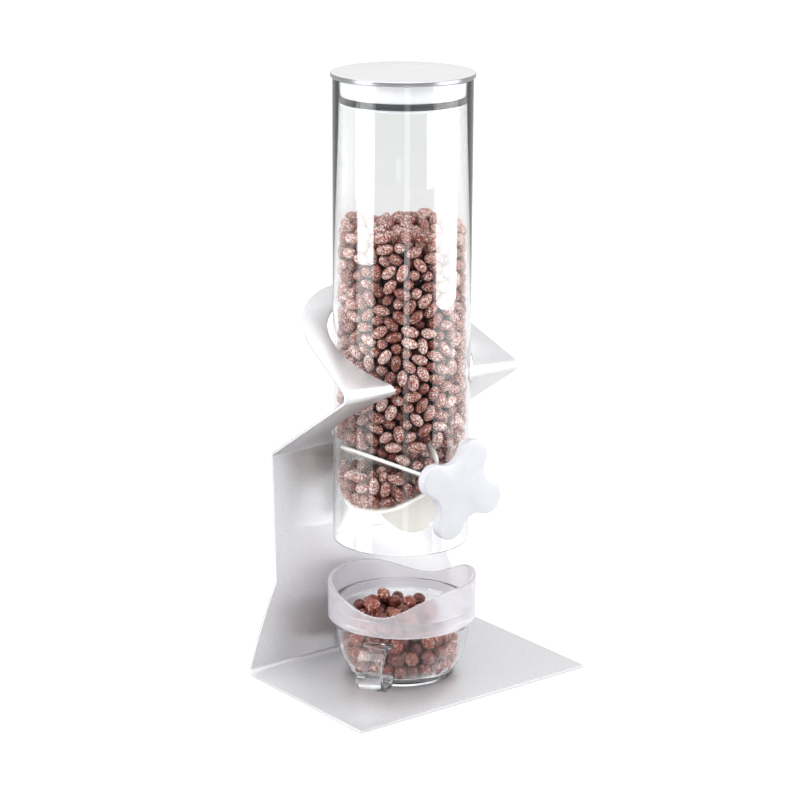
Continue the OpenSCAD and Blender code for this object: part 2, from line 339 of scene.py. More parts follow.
@dataclass(frozen=True)
class SilverLacquer(Finish):
    """Steel sheet sprayed with satin silver lacquer: fine aluminium flakes lie in a clear layer,
    so that it is bright from every side, with a wide soft gloss and a faint orange peel."""

    colour: str = "#DDDDDF"
    shade: str = "#CECED1"
    metallic: float = 0.7
    roughness: tuple[float, float] = (0.34, 0.42)
    flake_mm: float = 0.55
    peel_mm: float = 2.2
    cloud_mm: float = 50.0

    def fill(self, tree: bpy.types.NodeTree, place: bpy.types.NodeSocket) -> bpy.types.NodeSocket:
        """Flakes in the colour, clouds in the gloss, orange peel and flakes in the bump."""
        flake = add_node(tree, "ShaderNodeTexNoise", values={"Scale": per_unit(self.flake_mm), "Detail": 2.0},
                         links={"Vector": place})
        peel = add_node(tree, "ShaderNodeTexNoise", values={"Scale": per_unit(self.peel_mm), "Detail": 1.0},
                        links={"Vector": place})
        cloud = add_node(tree, "ShaderNodeTexNoise", values={"Scale": per_unit(self.cloud_mm), "Detail": 3.0},
                         links={"Vector": place})
        tint = add_node(tree, "ShaderNodeValToRGB", links={"Fac": flake.outputs["Fac"]},
                        stops=((0.35, linear(self.shade)), (0.62, linear(self.colour))))
        gloss = add_node(tree, "ShaderNodeMapRange", values={"From Min": 0.3, "From Max": 0.7,
                         "To Min": self.roughness[0], "To Max": self.roughness[1]},
                         links={"Value": cloud.outputs["Fac"]})
        fine = add_node(tree, "ShaderNodeBump", values={"Strength": 0.3, "Distance": 0.008 * MM},
                        links={"Height": flake.outputs["Fac"]})
        bump = add_node(tree, "ShaderNodeBump", values={"Strength": 0.3, "Distance": 0.02 * MM},
                        links={"Height": peel.outputs["Fac"], "Normal": fine.outputs["Normal"]})
        return add_node(tree, "ShaderNodeBsdfPrincipled",
                        values={"Metallic": self.metallic, "Coat Weight": 0.25, "Coat Roughness": 0.22},
                        links={"Base Color": tint.outputs["Color"], "Roughness": gloss.outputs["Result"],
                               "Normal": bump.outputs["Normal"]}).outputs["BSDF"]


@dataclass(frozen=True)
class ClearAcrylic(Finish):
    """Polished acrylic, cast or moulded: sharp bright reflections, dark edges where the wall is
    seen along its length, and almost no colour of its own. Lamps' rays pass it unbent, so that
    what it holds is lit."""

    colour: str = "#FCFDFD"
    roughness: float = 0.0
    ior: float = 1.49
    haze_mm: float = 30.0

    def fill(self, tree: bpy.types.NodeTree, place: bpy.types.NodeSocket) -> bpy.types.NodeSocket:
        """Glass with slow waves of the polished wall; clear to lamps' rays and to light that
        matt surfaces exchange through it."""
        wave = add_node(tree, "ShaderNodeTexNoise", values={"Scale": per_unit(self.haze_mm), "Detail": 1.0},
                        links={"Vector": place})
        bump = add_node(tree, "ShaderNodeBump", values={"Strength": 0.12, "Distance": 0.05 * MM},
                        links={"Height": wave.outputs["Fac"]})
        glass = add_node(tree, "ShaderNodeBsdfPrincipled",
                         values={"Base Color": linear(self.colour), "Roughness": self.roughness,
                                 "IOR": self.ior, "Transmission Weight": 1.0},
                         links={"Normal": bump.outputs["Normal"]})
        clear = add_node(tree, "ShaderNodeBsdfTransparent", values={"Color": (0.98, 0.98, 0.98, 1.0)})
        ray = add_node(tree, "ShaderNodeLightPath")
        shader = glass.outputs["BSDF"]
        for kind in ("Is Shadow Ray", "Is Diffuse Ray"):
            mix = add_node(tree, "ShaderNodeMixShader",
                           links={0: ray.outputs[kind], 1: shader, 2: clear.outputs["BSDF"]})
            shader = mix.outputs["Shader"]
        return shader


@dataclass(frozen=True)
class FrostedAcrylic(Finish):
    """Acrylic blasted to a fine frost: milky and slightly lavender, it blurs what is behind it."""

    colour: str = "#F3F1F5"
    roughness: float = 0.2
    ior: float = 1.49
    grain_mm: float = 0.6
    milk: float = 0.2

    def fill(self, tree: bpy.types.NodeTree, place: bpy.types.NodeSocket) -> bpy.types.NodeSocket:
        """Rough glass mixed with a share of white scattering, under a fine grain."""
        grain = add_node(tree, "ShaderNodeTexNoise", values={"Scale": per_unit(self.grain_mm), "Detail": 3.0},
                         links={"Vector": place})
        bump = add_node(tree, "ShaderNodeBump", values={"Strength": 0.4, "Distance": 0.03 * MM},
                        links={"Height": grain.outputs["Fac"]})
        milk = add_node(tree, "ShaderNodeMapRange", values={"From Min": 0.3, "From Max": 0.7,
                        "To Min": 1.0 - self.milk - 0.06, "To Max": 1.0 - self.milk + 0.06},
                        links={"Value": grain.outputs["Fac"]})
        glass = add_node(tree, "ShaderNodeBsdfPrincipled",
                         values={"Base Color": linear(self.colour), "Roughness": self.roughness,
                                 "IOR": self.ior},
                         links={"Normal": bump.outputs["Normal"],
                                "Transmission Weight": milk.outputs["Result"]})
        clear = add_node(tree, "ShaderNodeBsdfTransparent", values={"Color": (0.72, 0.71, 0.74, 1.0)})
        ray = add_node(tree, "ShaderNodeLightPath")
        return add_node(tree, "ShaderNodeMixShader",
                        links={0: ray.outputs["Is Shadow Ray"], 1: glass.outputs["BSDF"],
                               2: clear.outputs["BSDF"]}).outputs["Shader"]


@dataclass(frozen=True)
class MouldedPlastic(Finish):
    """Injection-moulded plastic with a fine spark-eroded grain, softly glossy, a little uneven."""

    colour: str = "#F2F2F3"
    shade: str = "#E9E9EC"
    roughness: tuple[float, float] = (0.26, 0.36)
    grain_mm: float = 0.8
    bump_mm: float = 0.02
    cloud_mm: float = 14.0
    coat: float = 0.3
    glow: float = 0.0

    def fill(self, tree: bpy.types.NodeTree, place: bpy.types.NodeSocket) -> bpy.types.NodeSocket:
        """Cloudy colour and gloss over a fine bump."""
        grain = add_node(tree, "ShaderNodeTexNoise", values={"Scale": per_unit(self.grain_mm), "Detail": 2.0},
                         links={"Vector": place})
        cloud = add_node(tree, "ShaderNodeTexNoise", values={"Scale": per_unit(self.cloud_mm), "Detail": 3.0},
                         links={"Vector": place})
        tint = add_node(tree, "ShaderNodeValToRGB", links={"Fac": cloud.outputs["Fac"]},
                        stops=((0.35, linear(self.shade)), (0.65, linear(self.colour))))
        gloss = add_node(tree, "ShaderNodeMapRange", values={"From Min": 0.3, "From Max": 0.7,
                         "To Min": self.roughness[0], "To Max": self.roughness[1]},
                         links={"Value": cloud.outputs["Fac"]})
        bump = add_node(tree, "ShaderNodeBump", values={"Strength": 0.3, "Distance": self.bump_mm * MM},
                        links={"Height": grain.outputs["Fac"]})
        return add_node(tree, "ShaderNodeBsdfPrincipled",
                        values={"Coat Weight": self.coat, "Coat Roughness": 0.12,
                                "Subsurface Weight": self.glow, "Subsurface Scale": 4 * MM},
                        links={"Base Color": tint.outputs["Color"], "Roughness": gloss.outputs["Result"],
                               "Normal": bump.outputs["Normal"]}).outputs["BSDF"]


@dataclass(frozen=True)
class SugaredPellet(Finish):
    """Baked pellet rolled in sugar: red-brown crust under a crackled, pinkish-white coat of fine
    crystals, rough between them and shiny on them."""

    crust: str = "#AE4020"
    dark: str = "#6C2410"
    # Painted shade: near-black colour of the pellets hidden behind others.
    hollow: str = "#180503"
    sugar: str = "#FFF3EC"
    sugar_from: float = 0.46
    crystal_mm: float = 0.9
    crackle_mm: float = 2.6
    bump_mm: float = 0.4

    def fill(self, tree: bpy.types.NodeTree, place: bpy.types.NodeSocket) -> bpy.types.NodeSocket:
        """Crust colour by pellet tone, sugar in crackled patches, bumps from both. Tone 0, given to
        the pellets behind others, paints them near black with almost no sugar: painted shade."""
        tone = add_node(tree, "ShaderNodeAttribute", settings={"attribute_name": "tone"})
        crystal = add_node(tree, "ShaderNodeTexNoise", links={"Vector": place},
                           values={"Scale": per_unit(self.crystal_mm), "Detail": 4.0, "Roughness": 0.65})
        crackle = add_node(tree, "ShaderNodeTexVoronoi", settings={"feature": "DISTANCE_TO_EDGE"},
                           values={"Scale": per_unit(self.crackle_mm)}, links={"Vector": place})
        # Tone 0 paints pellets hidden behind others in shade, near black; tones from 0.5 to 1 differ at
        # random.
        base = add_node(tree, "ShaderNodeValToRGB", links={"Fac": tone.outputs["Fac"]},
                        stops=((0.0, linear(self.hollow)), (1.0, linear(self.crust)),
                               (0.5, linear(self.dark))))
        # Less sugar as the tone falls, so the painted shade on hidden pellets shows almost no sugar.
        patch = add_node(tree, "ShaderNodeMath", settings={"operation": "MULTIPLY_ADD"},
                         values={1: 0.26, 2: -0.2}, links={0: tone.outputs["Fac"]})
        level = add_node(tree, "ShaderNodeMath", settings={"operation": "ADD"},
                         links={0: crystal.outputs["Fac"], 1: patch.outputs[0]})
        sugar = add_node(tree, "ShaderNodeMapRange", settings={"interpolation_type": "SMOOTHSTEP"},
                         values={"From Min": self.sugar_from, "From Max": self.sugar_from + 0.11},
                         links={"Value": level.outputs[0]})
        seam = add_node(tree, "ShaderNodeMapRange", values={"From Min": 0.0, "From Max": 0.12},
                        links={"Value": crackle.outputs["Distance"]})
        share = add_node(tree, "ShaderNodeMath", settings={"operation": "MULTIPLY"},
                         links={0: sugar.outputs["Result"], 1: seam.outputs["Result"]})
        tint = add_node(tree, "ShaderNodeMix", settings={"data_type": "RGBA"}, values={7: linear(self.sugar)},
                        links={0: share.outputs[0], 6: base.outputs["Color"]})
        height = add_node(tree, "ShaderNodeMath", settings={"operation": "ADD"},
                          links={0: crystal.outputs["Fac"], 1: share.outputs[0]})
        bump = add_node(tree, "ShaderNodeBump", values={"Strength": 0.9, "Distance": self.bump_mm * MM},
                        links={"Height": height.outputs[0]})
        gloss = add_node(tree, "ShaderNodeMapRange", values={"To Min": 0.32, "To Max": 0.5},
                         links={"Value": share.outputs[0]})
        return add_node(tree, "ShaderNodeBsdfPrincipled", values={"Coat Weight": 0.4, "Coat Roughness": 0.12},
                        links={"Base Color": tint.outputs[2], "Roughness": gloss.outputs["Result"],
                               "Normal": bump.outputs["Normal"]}).outputs["BSDF"]


@dataclass(frozen=True)
class StudioPaper(Finish):
    """Translucent white background sheet, lit evenly from below. In mirror images only, the half in
    front of the object is painted dark, a painted dark reflection, so that clear plastic shows
    what it holds and no grey veil.

    Fields:
        toward: level direction of the half whose mirror images are painted dark, as (x, y).
        light: glow that reaches the object.
        seen_light: glow of the sheet seen directly.
        passed_light: glow of the sheet seen through clear plastic.
        painted_reflection_glow: glow of that half in a mirror image: painted dark reflection.
    """

    toward: tuple[float, float]
    colour: str = "#BDBDBD"
    # Painted reflection: the dark colour that the front half shows in mirror images only.
    painted_reflection: str = "#303030"
    light: float = 0.32
    seen_light: float = 0.82
    passed_light: float = 0.46
    painted_reflection_glow: float = 0.02

    def fill(self, tree: bpy.types.NodeTree, place: bpy.types.NodeSocket) -> bpy.types.NodeSocket:
        """Matt white with an even glow. A ray that has been mirrored on its way, so that its
        bounces outnumber its passages, and that lands in front, gets a dark colour and glow: painted
        reflection."""
        ray = add_node(tree, "ShaderNodeLightPath")
        others = add_node(tree, "ShaderNodeMath", settings={"operation": "SUBTRACT"},
                          links={0: ray.outputs["Ray Depth"], 1: ray.outputs["Transmission Depth"]})
        mirrored = add_node(tree, "ShaderNodeMath", settings={"operation": "GREATER_THAN"}, values={1: 0.5},
                            links={0: others.outputs[0]})
        sharp = add_node(tree, "ShaderNodeMath", settings={"operation": "MULTIPLY"},
                         links={0: mirrored.outputs[0], 1: ray.outputs["Is Singular Ray"]})
        ahead = add_node(tree, "ShaderNodeVectorMath", settings={"operation": "DOT_PRODUCT"},
                         values={1: (*self.toward, 0.0)}, links={0: place})
        front = add_node(tree, "ShaderNodeMapRange", values={"From Min": -0.05, "From Max": 0.2},
                         links={"Value": ahead.outputs["Value"]})
        # Painted reflection: mask of mirrored rays that land on the front half.
        painted_reflection_mask = add_node(tree, "ShaderNodeMath", settings={"operation": "MULTIPLY"},
                           links={0: sharp.outputs[0], 1: front.outputs["Result"]}).outputs[0]
        level = add_node(tree, "ShaderNodeMapRange", values={"To Min": self.light, "To Max": self.seen_light},
                         links={"Value": ray.outputs["Is Camera Ray"]}).outputs["Result"]
        level = add_node(tree, "ShaderNodeMath", settings={"operation": "MULTIPLY_ADD"},
                         values={1: self.passed_light - self.light},
                         links={0: ray.outputs["Is Singular Ray"], 2: level}).outputs[0]
        level = add_node(tree, "ShaderNodeMix", settings={"data_type": "FLOAT"}, values={3: self.painted_reflection_glow},
                         links={0: painted_reflection_mask, 2: level}).outputs[0]
        tint = add_node(tree, "ShaderNodeMix", settings={"data_type": "RGBA"},
                        values={6: linear(self.colour), 7: linear(self.painted_reflection)}, links={0: painted_reflection_mask})
        return add_node(tree, "ShaderNodeBsdfPrincipled",
                        values={"Roughness": 1.0, "Specular IOR Level": 0.0,
                                "Emission Color": (1.0, 1.0, 1.0, 1.0)},
                        links={"Base Color": tint.outputs[2], "Emission Strength": level}).outputs["BSDF"]


SILVER_SHEET = SilverLacquer("silver-lacquered steel", Slot.STEEL)
# The lid's darker rim colour is painted shade along the cap's edge.
LID_STEEL = SatinMetal("brushed aluminium", Slot.LID, colour="#F3F3F3", shade="#E8E8EA",
                       roughness=(0.22, 0.28), metallic=0.85, bump_mm=0.006, painted_rim_shade="#A2A3A7")
BRIGHT_STEEL = SatinMetal("polished stainless steel", Slot.BRIGHT, colour="#DCDCDE", shade="#D0D0D3",
                          roughness=(0.12, 0.2), bump_mm=0.004, grain_mm=0.4)
CAST_ACRYLIC = ClearAcrylic("extruded clear acrylic", Slot.CLEAR)
CUP_ACRYLIC = ClearAcrylic("moulded clear acrylic", Slot.CLEAR, colour="#FAFBFC", haze_mm=9.0)
FROST = FrostedAcrylic("frosted acrylic", Slot.FROSTED)
SILICONE = MouldedPlastic("silicone rubber", Slot.BLADE, colour="#FFFDF8", shade="#FAF7F1",
                          roughness=(0.42, 0.5), coat=0.0, glow=0.1)
KNOB_ABS = MouldedPlastic("satin painted ABS", Slot.KNOB, colour="#C6C7CC", shade="#C0C1C7",
                          roughness=(0.3, 0.36), coat=0.35)
BEARING_POM = MouldedPlastic("acetal", Slot.BEARING, colour="#E6E5E2", shade="#DAD9D6", coat=0.1)
PLUG_PP = MouldedPlastic("polypropylene", Slot.PLUG, colour="#EFF0F2", shade="#E4E6EA", coat=0.2, glow=0.15)
SEAL_RUBBER = MouldedPlastic("nitrile rubber", Slot.SEAL, colour="#3C3D40", shade="#2B2C2F",
                             roughness=(0.45, 0.6), coat=0.0, bump_mm=0.03)
PAD_RUBBER = MouldedPlastic("EPDM rubber", Slot.PAD, colour="#2B2B2C", shade="#1E1E1F",
                            roughness=(0.6, 0.75), coat=0.0, bump_mm=0.05)
PELLETS = SugaredPellet("sugar-coated kibble", None)
CRUNCHY = SugaredPellet("baked kibble", None, crust="#96341A", dark="#54180B", sugar="#E8B8A6",
                        sugar_from=0.5, crystal_mm=1.9, crackle_mm=3.4, bump_mm=0.8)
# toward gives the half of the floor whose mirror images are painted dark.
PAPER = StudioPaper("white background paper", None, toward=(-0.612, -0.791))


# ---------------------------------------------------------------- making pieces


def write_mesh(name: str, surface: Surface, sharp_degrees: float) -> bpy.types.Object:
    """Puts a surface into a new object at the origin, in metres, and merges its doubled points.

    Args:
        name: the object's name.
        surface: points in millimetres from the canister's axis.
        sharp_degrees: faces that meet at more than this stay sharp.

    Returns:
        The object, linked to the scene.
    """
    points = (surface.points + np.array([0, AXIS_Y, 0])) * MM
    mesh = bpy.data.meshes.new(name)
    mesh.vertices.add(len(points))
    mesh.vertices.foreach_set("co", points.astype(np.float32).reshape(-1))
    mesh.loops.add(surface.quads.size)
    mesh.loops.foreach_set("vertex_index", surface.quads.astype(np.int32).reshape(-1))
    mesh.polygons.add(len(surface.quads))
    mesh.polygons.foreach_set("loop_start", np.arange(0, surface.quads.size, 4, dtype=np.int32))
    if surface.tones is not None:
        tone = mesh.attributes.new("tone", "FLOAT", "POINT")
        tone.data.foreach_set("value", surface.tones.astype(np.float32))
    mesh.update(calc_edges=True)
    shape = bmesh.new()
    shape.from_mesh(mesh)
    bmesh.ops.remove_doubles(shape, verts=shape.verts, dist=1e-6)
    shape.to_mesh(mesh)
    shape.free()
    mesh.polygons.foreach_set("use_smooth", np.ones(len(mesh.polygons), bool))
    mesh.set_sharp_from_angle(angle=math.radians(sharp_degrees))
    obj = bpy.data.objects.new(name, mesh)
    bpy.context.scene.collection.objects.link(obj)
    return obj


def place_piece(obj: bpy.types.Object, finish: Finish, body: Body, nodes: Sequence[str]) -> bpy.types.Object:
    """Dresses a finished piece, puts it on its body and lets it stand for its CAD nodes."""
    obj.data.materials.clear()
    obj.data.materials.append(material_of(finish))
    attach(obj, body.value)
    if nodes:
        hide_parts(*nodes)
    LOG.info("%-24s %6d faces  %s on %s", obj.name, len(obj.data.polygons), finish.name, body.value)
    return obj


def make_piece(name: str, surface: Surface, finish: Finish, body: Body, nodes: Sequence[str] = (),
               sharp_degrees: float = 40.0) -> bpy.types.Object:
    """Writes a surface as an object and places it."""
    return place_piece(write_mesh(name, surface, sharp_degrees), finish, body, nodes)


def softened_copy(name: str, node: str, finish: Finish, body: Body, edge_mm: float,
                  segments: int = 2) -> bpy.types.Object:
    """A merged copy of a CAD node with its sharp edges broken by a small bevel, kept inside the node's box.

    Args:
        name: the new object's name.
        node: the CAD node that it stands for.
        finish: its finish.
        body: the body it rides on.
        edge_mm: width of the bevel.
        segments: segments of the bevel.

    Returns:
        The object.
    """
    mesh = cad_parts[node].data.copy()
    mesh.name = name
    shape = bmesh.new()
    shape.from_mesh(mesh)
    bmesh.ops.remove_doubles(shape, verts=shape.verts, dist=2e-6)
    bmesh.ops.dissolve_limit(shape, angle_limit=math.radians(0.2), verts=shape.verts, edges=shape.edges)
    shape.to_mesh(mesh)
    shape.free()
    for old in list(mesh.attributes):
        if old.name == "custom_normal":
            mesh.attributes.remove(old)
    mesh.polygons.foreach_set("use_smooth", np.ones(len(mesh.polygons), bool))
    rough = bpy.data.objects.new(name + "_blank", mesh)
    bpy.context.scene.collection.objects.link(rough)
    bevel = rough.modifiers.new("broken edge", "BEVEL")
    bevel.width, bevel.segments = edge_mm * MM, segments
    bevel.limit_method, bevel.angle_limit = "ANGLE", math.radians(40)
    bevel.use_clamp_overlap = False
    finished = bpy.data.meshes.new_from_object(rough.evaluated_get(bpy.context.evaluated_depsgraph_get()))
    bpy.data.objects.remove(rough)
    place = np.empty(len(finished.vertices) * 3, np.float32)
    finished.vertices.foreach_get("co", place)
    low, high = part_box(node)
    finished.vertices.foreach_set("co", np.clip(place.reshape(-1, 3), low, high).reshape(-1))
    finished.polygons.foreach_set("use_smooth", np.ones(len(finished.polygons), bool))
    finished.set_sharp_from_angle(angle=math.radians(35))
    obj = bpy.data.objects.new(name, finished)
    bpy.context.scene.collection.objects.link(obj)
    return place_piece(obj, finish, body, (node,))


# ---------------------------------------------------------------- sub-assemblies


@dataclass
class Stand:
    """The folded sheet that holds the canister, and its rubber pads."""

    edge_mm: float = 0.3
    pad_r: float = 7.0
    pad_h: float = 1.0
    pad_round: float = 0.3

    def pad(self, node: str) -> None:
        """A pad: a flat disc with rounded edges, under one corner of the base."""
        low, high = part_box(node)
        middle = (low + high) / 2
        profile = rounded([(0, 0), (self.pad_r, 0), (self.pad_r, self.pad_h), (0, self.pad_h)],
                          (0, self.pad_round, self.pad_round, 0))
        disc = revolve(profile, 48).moved(shift=(middle.x / MM, middle.y / MM - AXIS_Y, 0))
        make_piece(node.replace("foot_pad", "rubber_pad"), disc, PAD_RUBBER, Body.STAND, (node,))

    def build(self) -> None:
        """Makes every piece of the stand."""
        softened_copy("folded_stand", "stand_sheet", SILVER_SHEET, Body.STAND, self.edge_mm)
        for corner in ("front_left", "front_right", "rear_left", "rear_right"):
            self.pad(f"foot_pad_{corner}")


@dataclass
class Canister:
    """The clear tube with its two bushings and their nuts."""

    outer_r: float = 45.0
    wall: float = 2.5
    low: float = 92.0
    high: float = 397.9
    lip: float = 0.6
    flange_y: float = 41.9
    flange_t: float = 2.0
    flange_r: float = 6.5
    sleeve_r: float = 4.5
    front_end: float = 48.8
    rear_end: float = 52.8
    spacer_r: float = 7.0
    spacer: tuple[float, float] = (45.05, 46.45)
    hole_r: float = 2.55

    def tube(self) -> Surface:
        """Ring profile with lips rounded all round, turned about the axis."""
        r0, r1 = self.outer_r - self.wall, self.outer_r
        profile = rounded([(r0, self.low), (r1, self.low), (r1, self.high), (r0, self.high)], self.lip)
        return revolve(profile, 192)

    def bushing(self, end: float) -> Surface:
        """Flange, sleeve and bore as one closed profile about the wheel's axis."""
        low = self.flange_y - self.flange_t
        profile = rounded([(self.hole_r, low), (self.flange_r, low), (self.flange_r, self.flange_y),
                           (self.sleeve_r, self.flange_y), (self.sleeve_r, end), (self.hole_r, end)],
                          (0.3, 0.5, 0.15, 0.1, 0.4, 0.3), 3)
        return revolve(profile, 64)

    def build(self) -> None:
        """Makes the tube, the bushings and their nuts."""
        make_piece("clear_tube", self.tube(), CAST_ACRYLIC, Body.STAND, ("canister_tube",))
        front, rear = self.bushing(self.front_end), self.bushing(self.rear_end)
        make_piece("front_bearing", on_wheel_axis(front, -1), BEARING_POM, Body.STAND, ("front_bushing",))
        make_piece("rear_bearing", on_wheel_axis(rear, 1), BEARING_POM, Body.STAND, ("rear_bushing",))
        near, far = self.spacer
        ring = revolve(rounded([(self.sleeve_r, near), (self.spacer_r, near), (self.spacer_r, far),
                                (self.sleeve_r, far)], 0.25, 3), 64)
        make_piece("spacer_ring", on_wheel_axis(ring, 1), BEARING_POM, Body.STAND, ("rear_spacer",))
        softened_copy("front_hex_nut", "front_bushing_nut", BRIGHT_STEEL, Body.STAND, 0.35)
        softened_copy("rear_hex_nut", "rear_bushing_nut", BRIGHT_STEEL, Body.STAND, 0.35)


@dataclass
class PortionWheel:
    """Shaft, hub, six flexible blades and the four-lobed knob that turns them."""

    shaft_r: float = 2.5
    shaft_front: float = 63.0
    shaft_rear: float = 54.4
    hub_r: float = 5.0
    half: float = 39.4
    blade_r: float = 42.0
    blade_t: float = 2.2
    first_blade: float = 154.0
    reach: float = 23.0
    lobe_r: float = 10.8
    flank_r: float = 12.0
    knob_turn: float = -24.0
    knob_back: float = 58.0
    knob_front: float = 66.0
    boss_r: float = 7.0
    boss_back: float = 49.2
    edge: float = 1.5
    dome: float = 0.7
    root: float = 0.6

    def blade(self, degrees: float) -> Surface:
        """One blade, pointing degrees above +X.

        For each place y along the axis a flat loop runs from the hub out to the rim at
        sqrt(R^2 - y^2), round it and back; its half-thickness falls to nothing at the two ends
        as sqrt(1 - s^2), so that the ends are rounded and closed.
        """
        t = self.blade_t / 2
        s = np.sin(np.linspace(-1, 1, 49) * math.pi / 2)
        y = np.sign(s) * np.minimum(np.abs(s) * (self.half + 0.001), self.half)
        ends = np.linspace(0, 1, 5) ** 0.5
        y = np.unique(np.concatenate([y * (self.half - t) / self.half, self.half - t + t * ends,
                                      -(self.half - t + t * ends)]))
        over = np.clip((np.abs(y) - (self.half - t)) / t, 0, 1)
        thick = t * np.sqrt(1 - over**2)
        rim = np.sqrt(self.blade_r**2 - y**2)
        v = np.linspace(0, 1, 9)
        a = np.linspace(-math.pi / 2, math.pi / 2, 9)
        inner = self.hub_r - self.root
        out = inner + (rim - t - inner)[:, None] * v[None, :]
        rho = np.concatenate([out, (rim - t)[:, None] + t * np.cos(a)[None, :], out[:, ::-1]], axis=1)
        across = np.concatenate([-np.ones(9), np.sin(a), np.ones(9)])
        n = across[None, :] * thick[:, None]
        c, q = math.cos(math.radians(degrees)), math.sin(math.radians(degrees))
        p = np.stack([rho * c - n * q, np.broadcast_to(y[:, None], rho.shape), rho * q + n * c + WHEEL_Z], 2)
        return Surface(p.reshape(-1, 3), grid_faces(len(y), rho.shape[1], False, True)).outward()

    def outline(self, inset: float, steps: int = 12) -> Array:
        """The knob's outline, moved inwards by inset.

        Each lobe is an arc about a point at the lobe's reach, each flank an arc about a point
        outside, and the arcs touch on the line between their centres; moving inwards shortens
        the lobes' radius and lengthens the flanks'.
        """
        half = math.radians(45)
        flank = self.reach * math.cos(half) + math.sqrt(
            (self.lobe_r + self.flank_r) ** 2 - (self.reach * math.sin(half)) ** 2)
        alpha = math.atan2(flank * math.sin(half), flank * math.cos(half) - self.reach)
        lobe = np.linspace(-alpha, alpha, 2 * steps, endpoint=False)
        delta = alpha - half
        hollow = math.pi + half + np.linspace(delta, -delta, steps, endpoint=False)
        one = np.concatenate([
            [self.reach, 0] + (self.lobe_r - inset) * np.stack([np.cos(lobe), np.sin(lobe)], 1),
            flank * np.array([math.cos(half), math.sin(half)])
            + (self.flank_r + inset) * np.stack([np.cos(hollow), np.sin(hollow)], 1)])
        quarter = np.arange(4) * math.pi / 2 + math.radians(self.knob_turn)
        c, s = np.cos(quarter)[:, None], np.sin(quarter)[:, None]
        x, z = one[None, :, 0], one[None, :, 1]
        return np.stack([x * c - z * s, x * s + z * c], 2).reshape(-1, 2)

    def knob(self) -> Surface:
        """Rings of the outline: the back, a rounded edge, the side, a rounded edge, then the
        front, which rises by the dome towards its middle as 1 - f^2."""
        e = self.edge
        a = np.linspace(0, math.pi / 2, 6)
        rings: list[tuple[Array, float]] = []
        inner = self.outline(e)
        front = self.knob_front - self.dome
        for f in np.linspace(0, 1, 4)[:-1]:
            rings.append((inner * f, self.knob_back))
        for k in a:
            rings.append((self.outline(e * (1 - math.sin(k))), self.knob_back + e * (1 - math.cos(k))))
        for k in a:
            rings.append((self.outline(e * (1 - math.cos(k))), front - e + e * math.sin(k)))
        for f in np.linspace(1, 0, 14)[1:]:
            rings.append((inner * f, front + self.dome * (1 - f**2)))
        p = np.stack([np.column_stack([xz, np.full(len(xz), d)]) for xz, d in rings])
        p = np.stack([p[..., 0], -p[..., 2], p[..., 1] + WHEEL_Z], axis=2)
        return Surface(p.reshape(-1, 3), grid_faces(p.shape[0], p.shape[1], False, True)).outward()

    def build(self) -> None:
        """Makes every piece of the wheel."""
        shaft = revolve(rounded([(0, -self.shaft_rear), (self.shaft_r, -self.shaft_rear),
                                 (self.shaft_r, self.shaft_front), (0, self.shaft_front)],
                                (0, 0.5, 0.5, 0)), 48)
        make_piece("steel_shaft", on_wheel_axis(shaft), BRIGHT_STEEL, Body.WHEEL, ("drive_shaft",))
        hub = revolve(rounded([(self.shaft_r, -self.half), (self.hub_r, -self.half), (self.hub_r, self.half),
                               (self.shaft_r, self.half)], (0.2, 0.8, 0.8, 0.2)), 64)
        make_piece("wheel_hub", on_wheel_axis(hub), SILICONE, Body.WHEEL, ("rotor_hub",))
        for k in range(6):
            make_piece(f"wheel_blade_{k + 1}", self.blade(self.first_blade + 60 * k), SILICONE, Body.WHEEL,
                       (f"blade_{k + 1}",))
        sunk = self.knob_back + 0.4
        boss = revolve(rounded([(self.shaft_r, self.boss_back), (self.boss_r, self.boss_back),
                                (self.boss_r, sunk), (self.shaft_r, sunk)], (0.3, 0.8, 0, 0)), 64)
        knob = joined([self.knob(), on_wheel_axis(boss)])
        make_piece("four_lobe_knob", knob, KNOB_ABS, Body.WHEEL, ("knob",), 50)
        softened_copy("grub_screw", "knob_set_screw", BRIGHT_STEEL, Body.WHEEL, 0.2)
        softened_copy("retaining_clip", "shaft_clip", BRIGHT_STEEL, Body.WHEEL, 0.15)


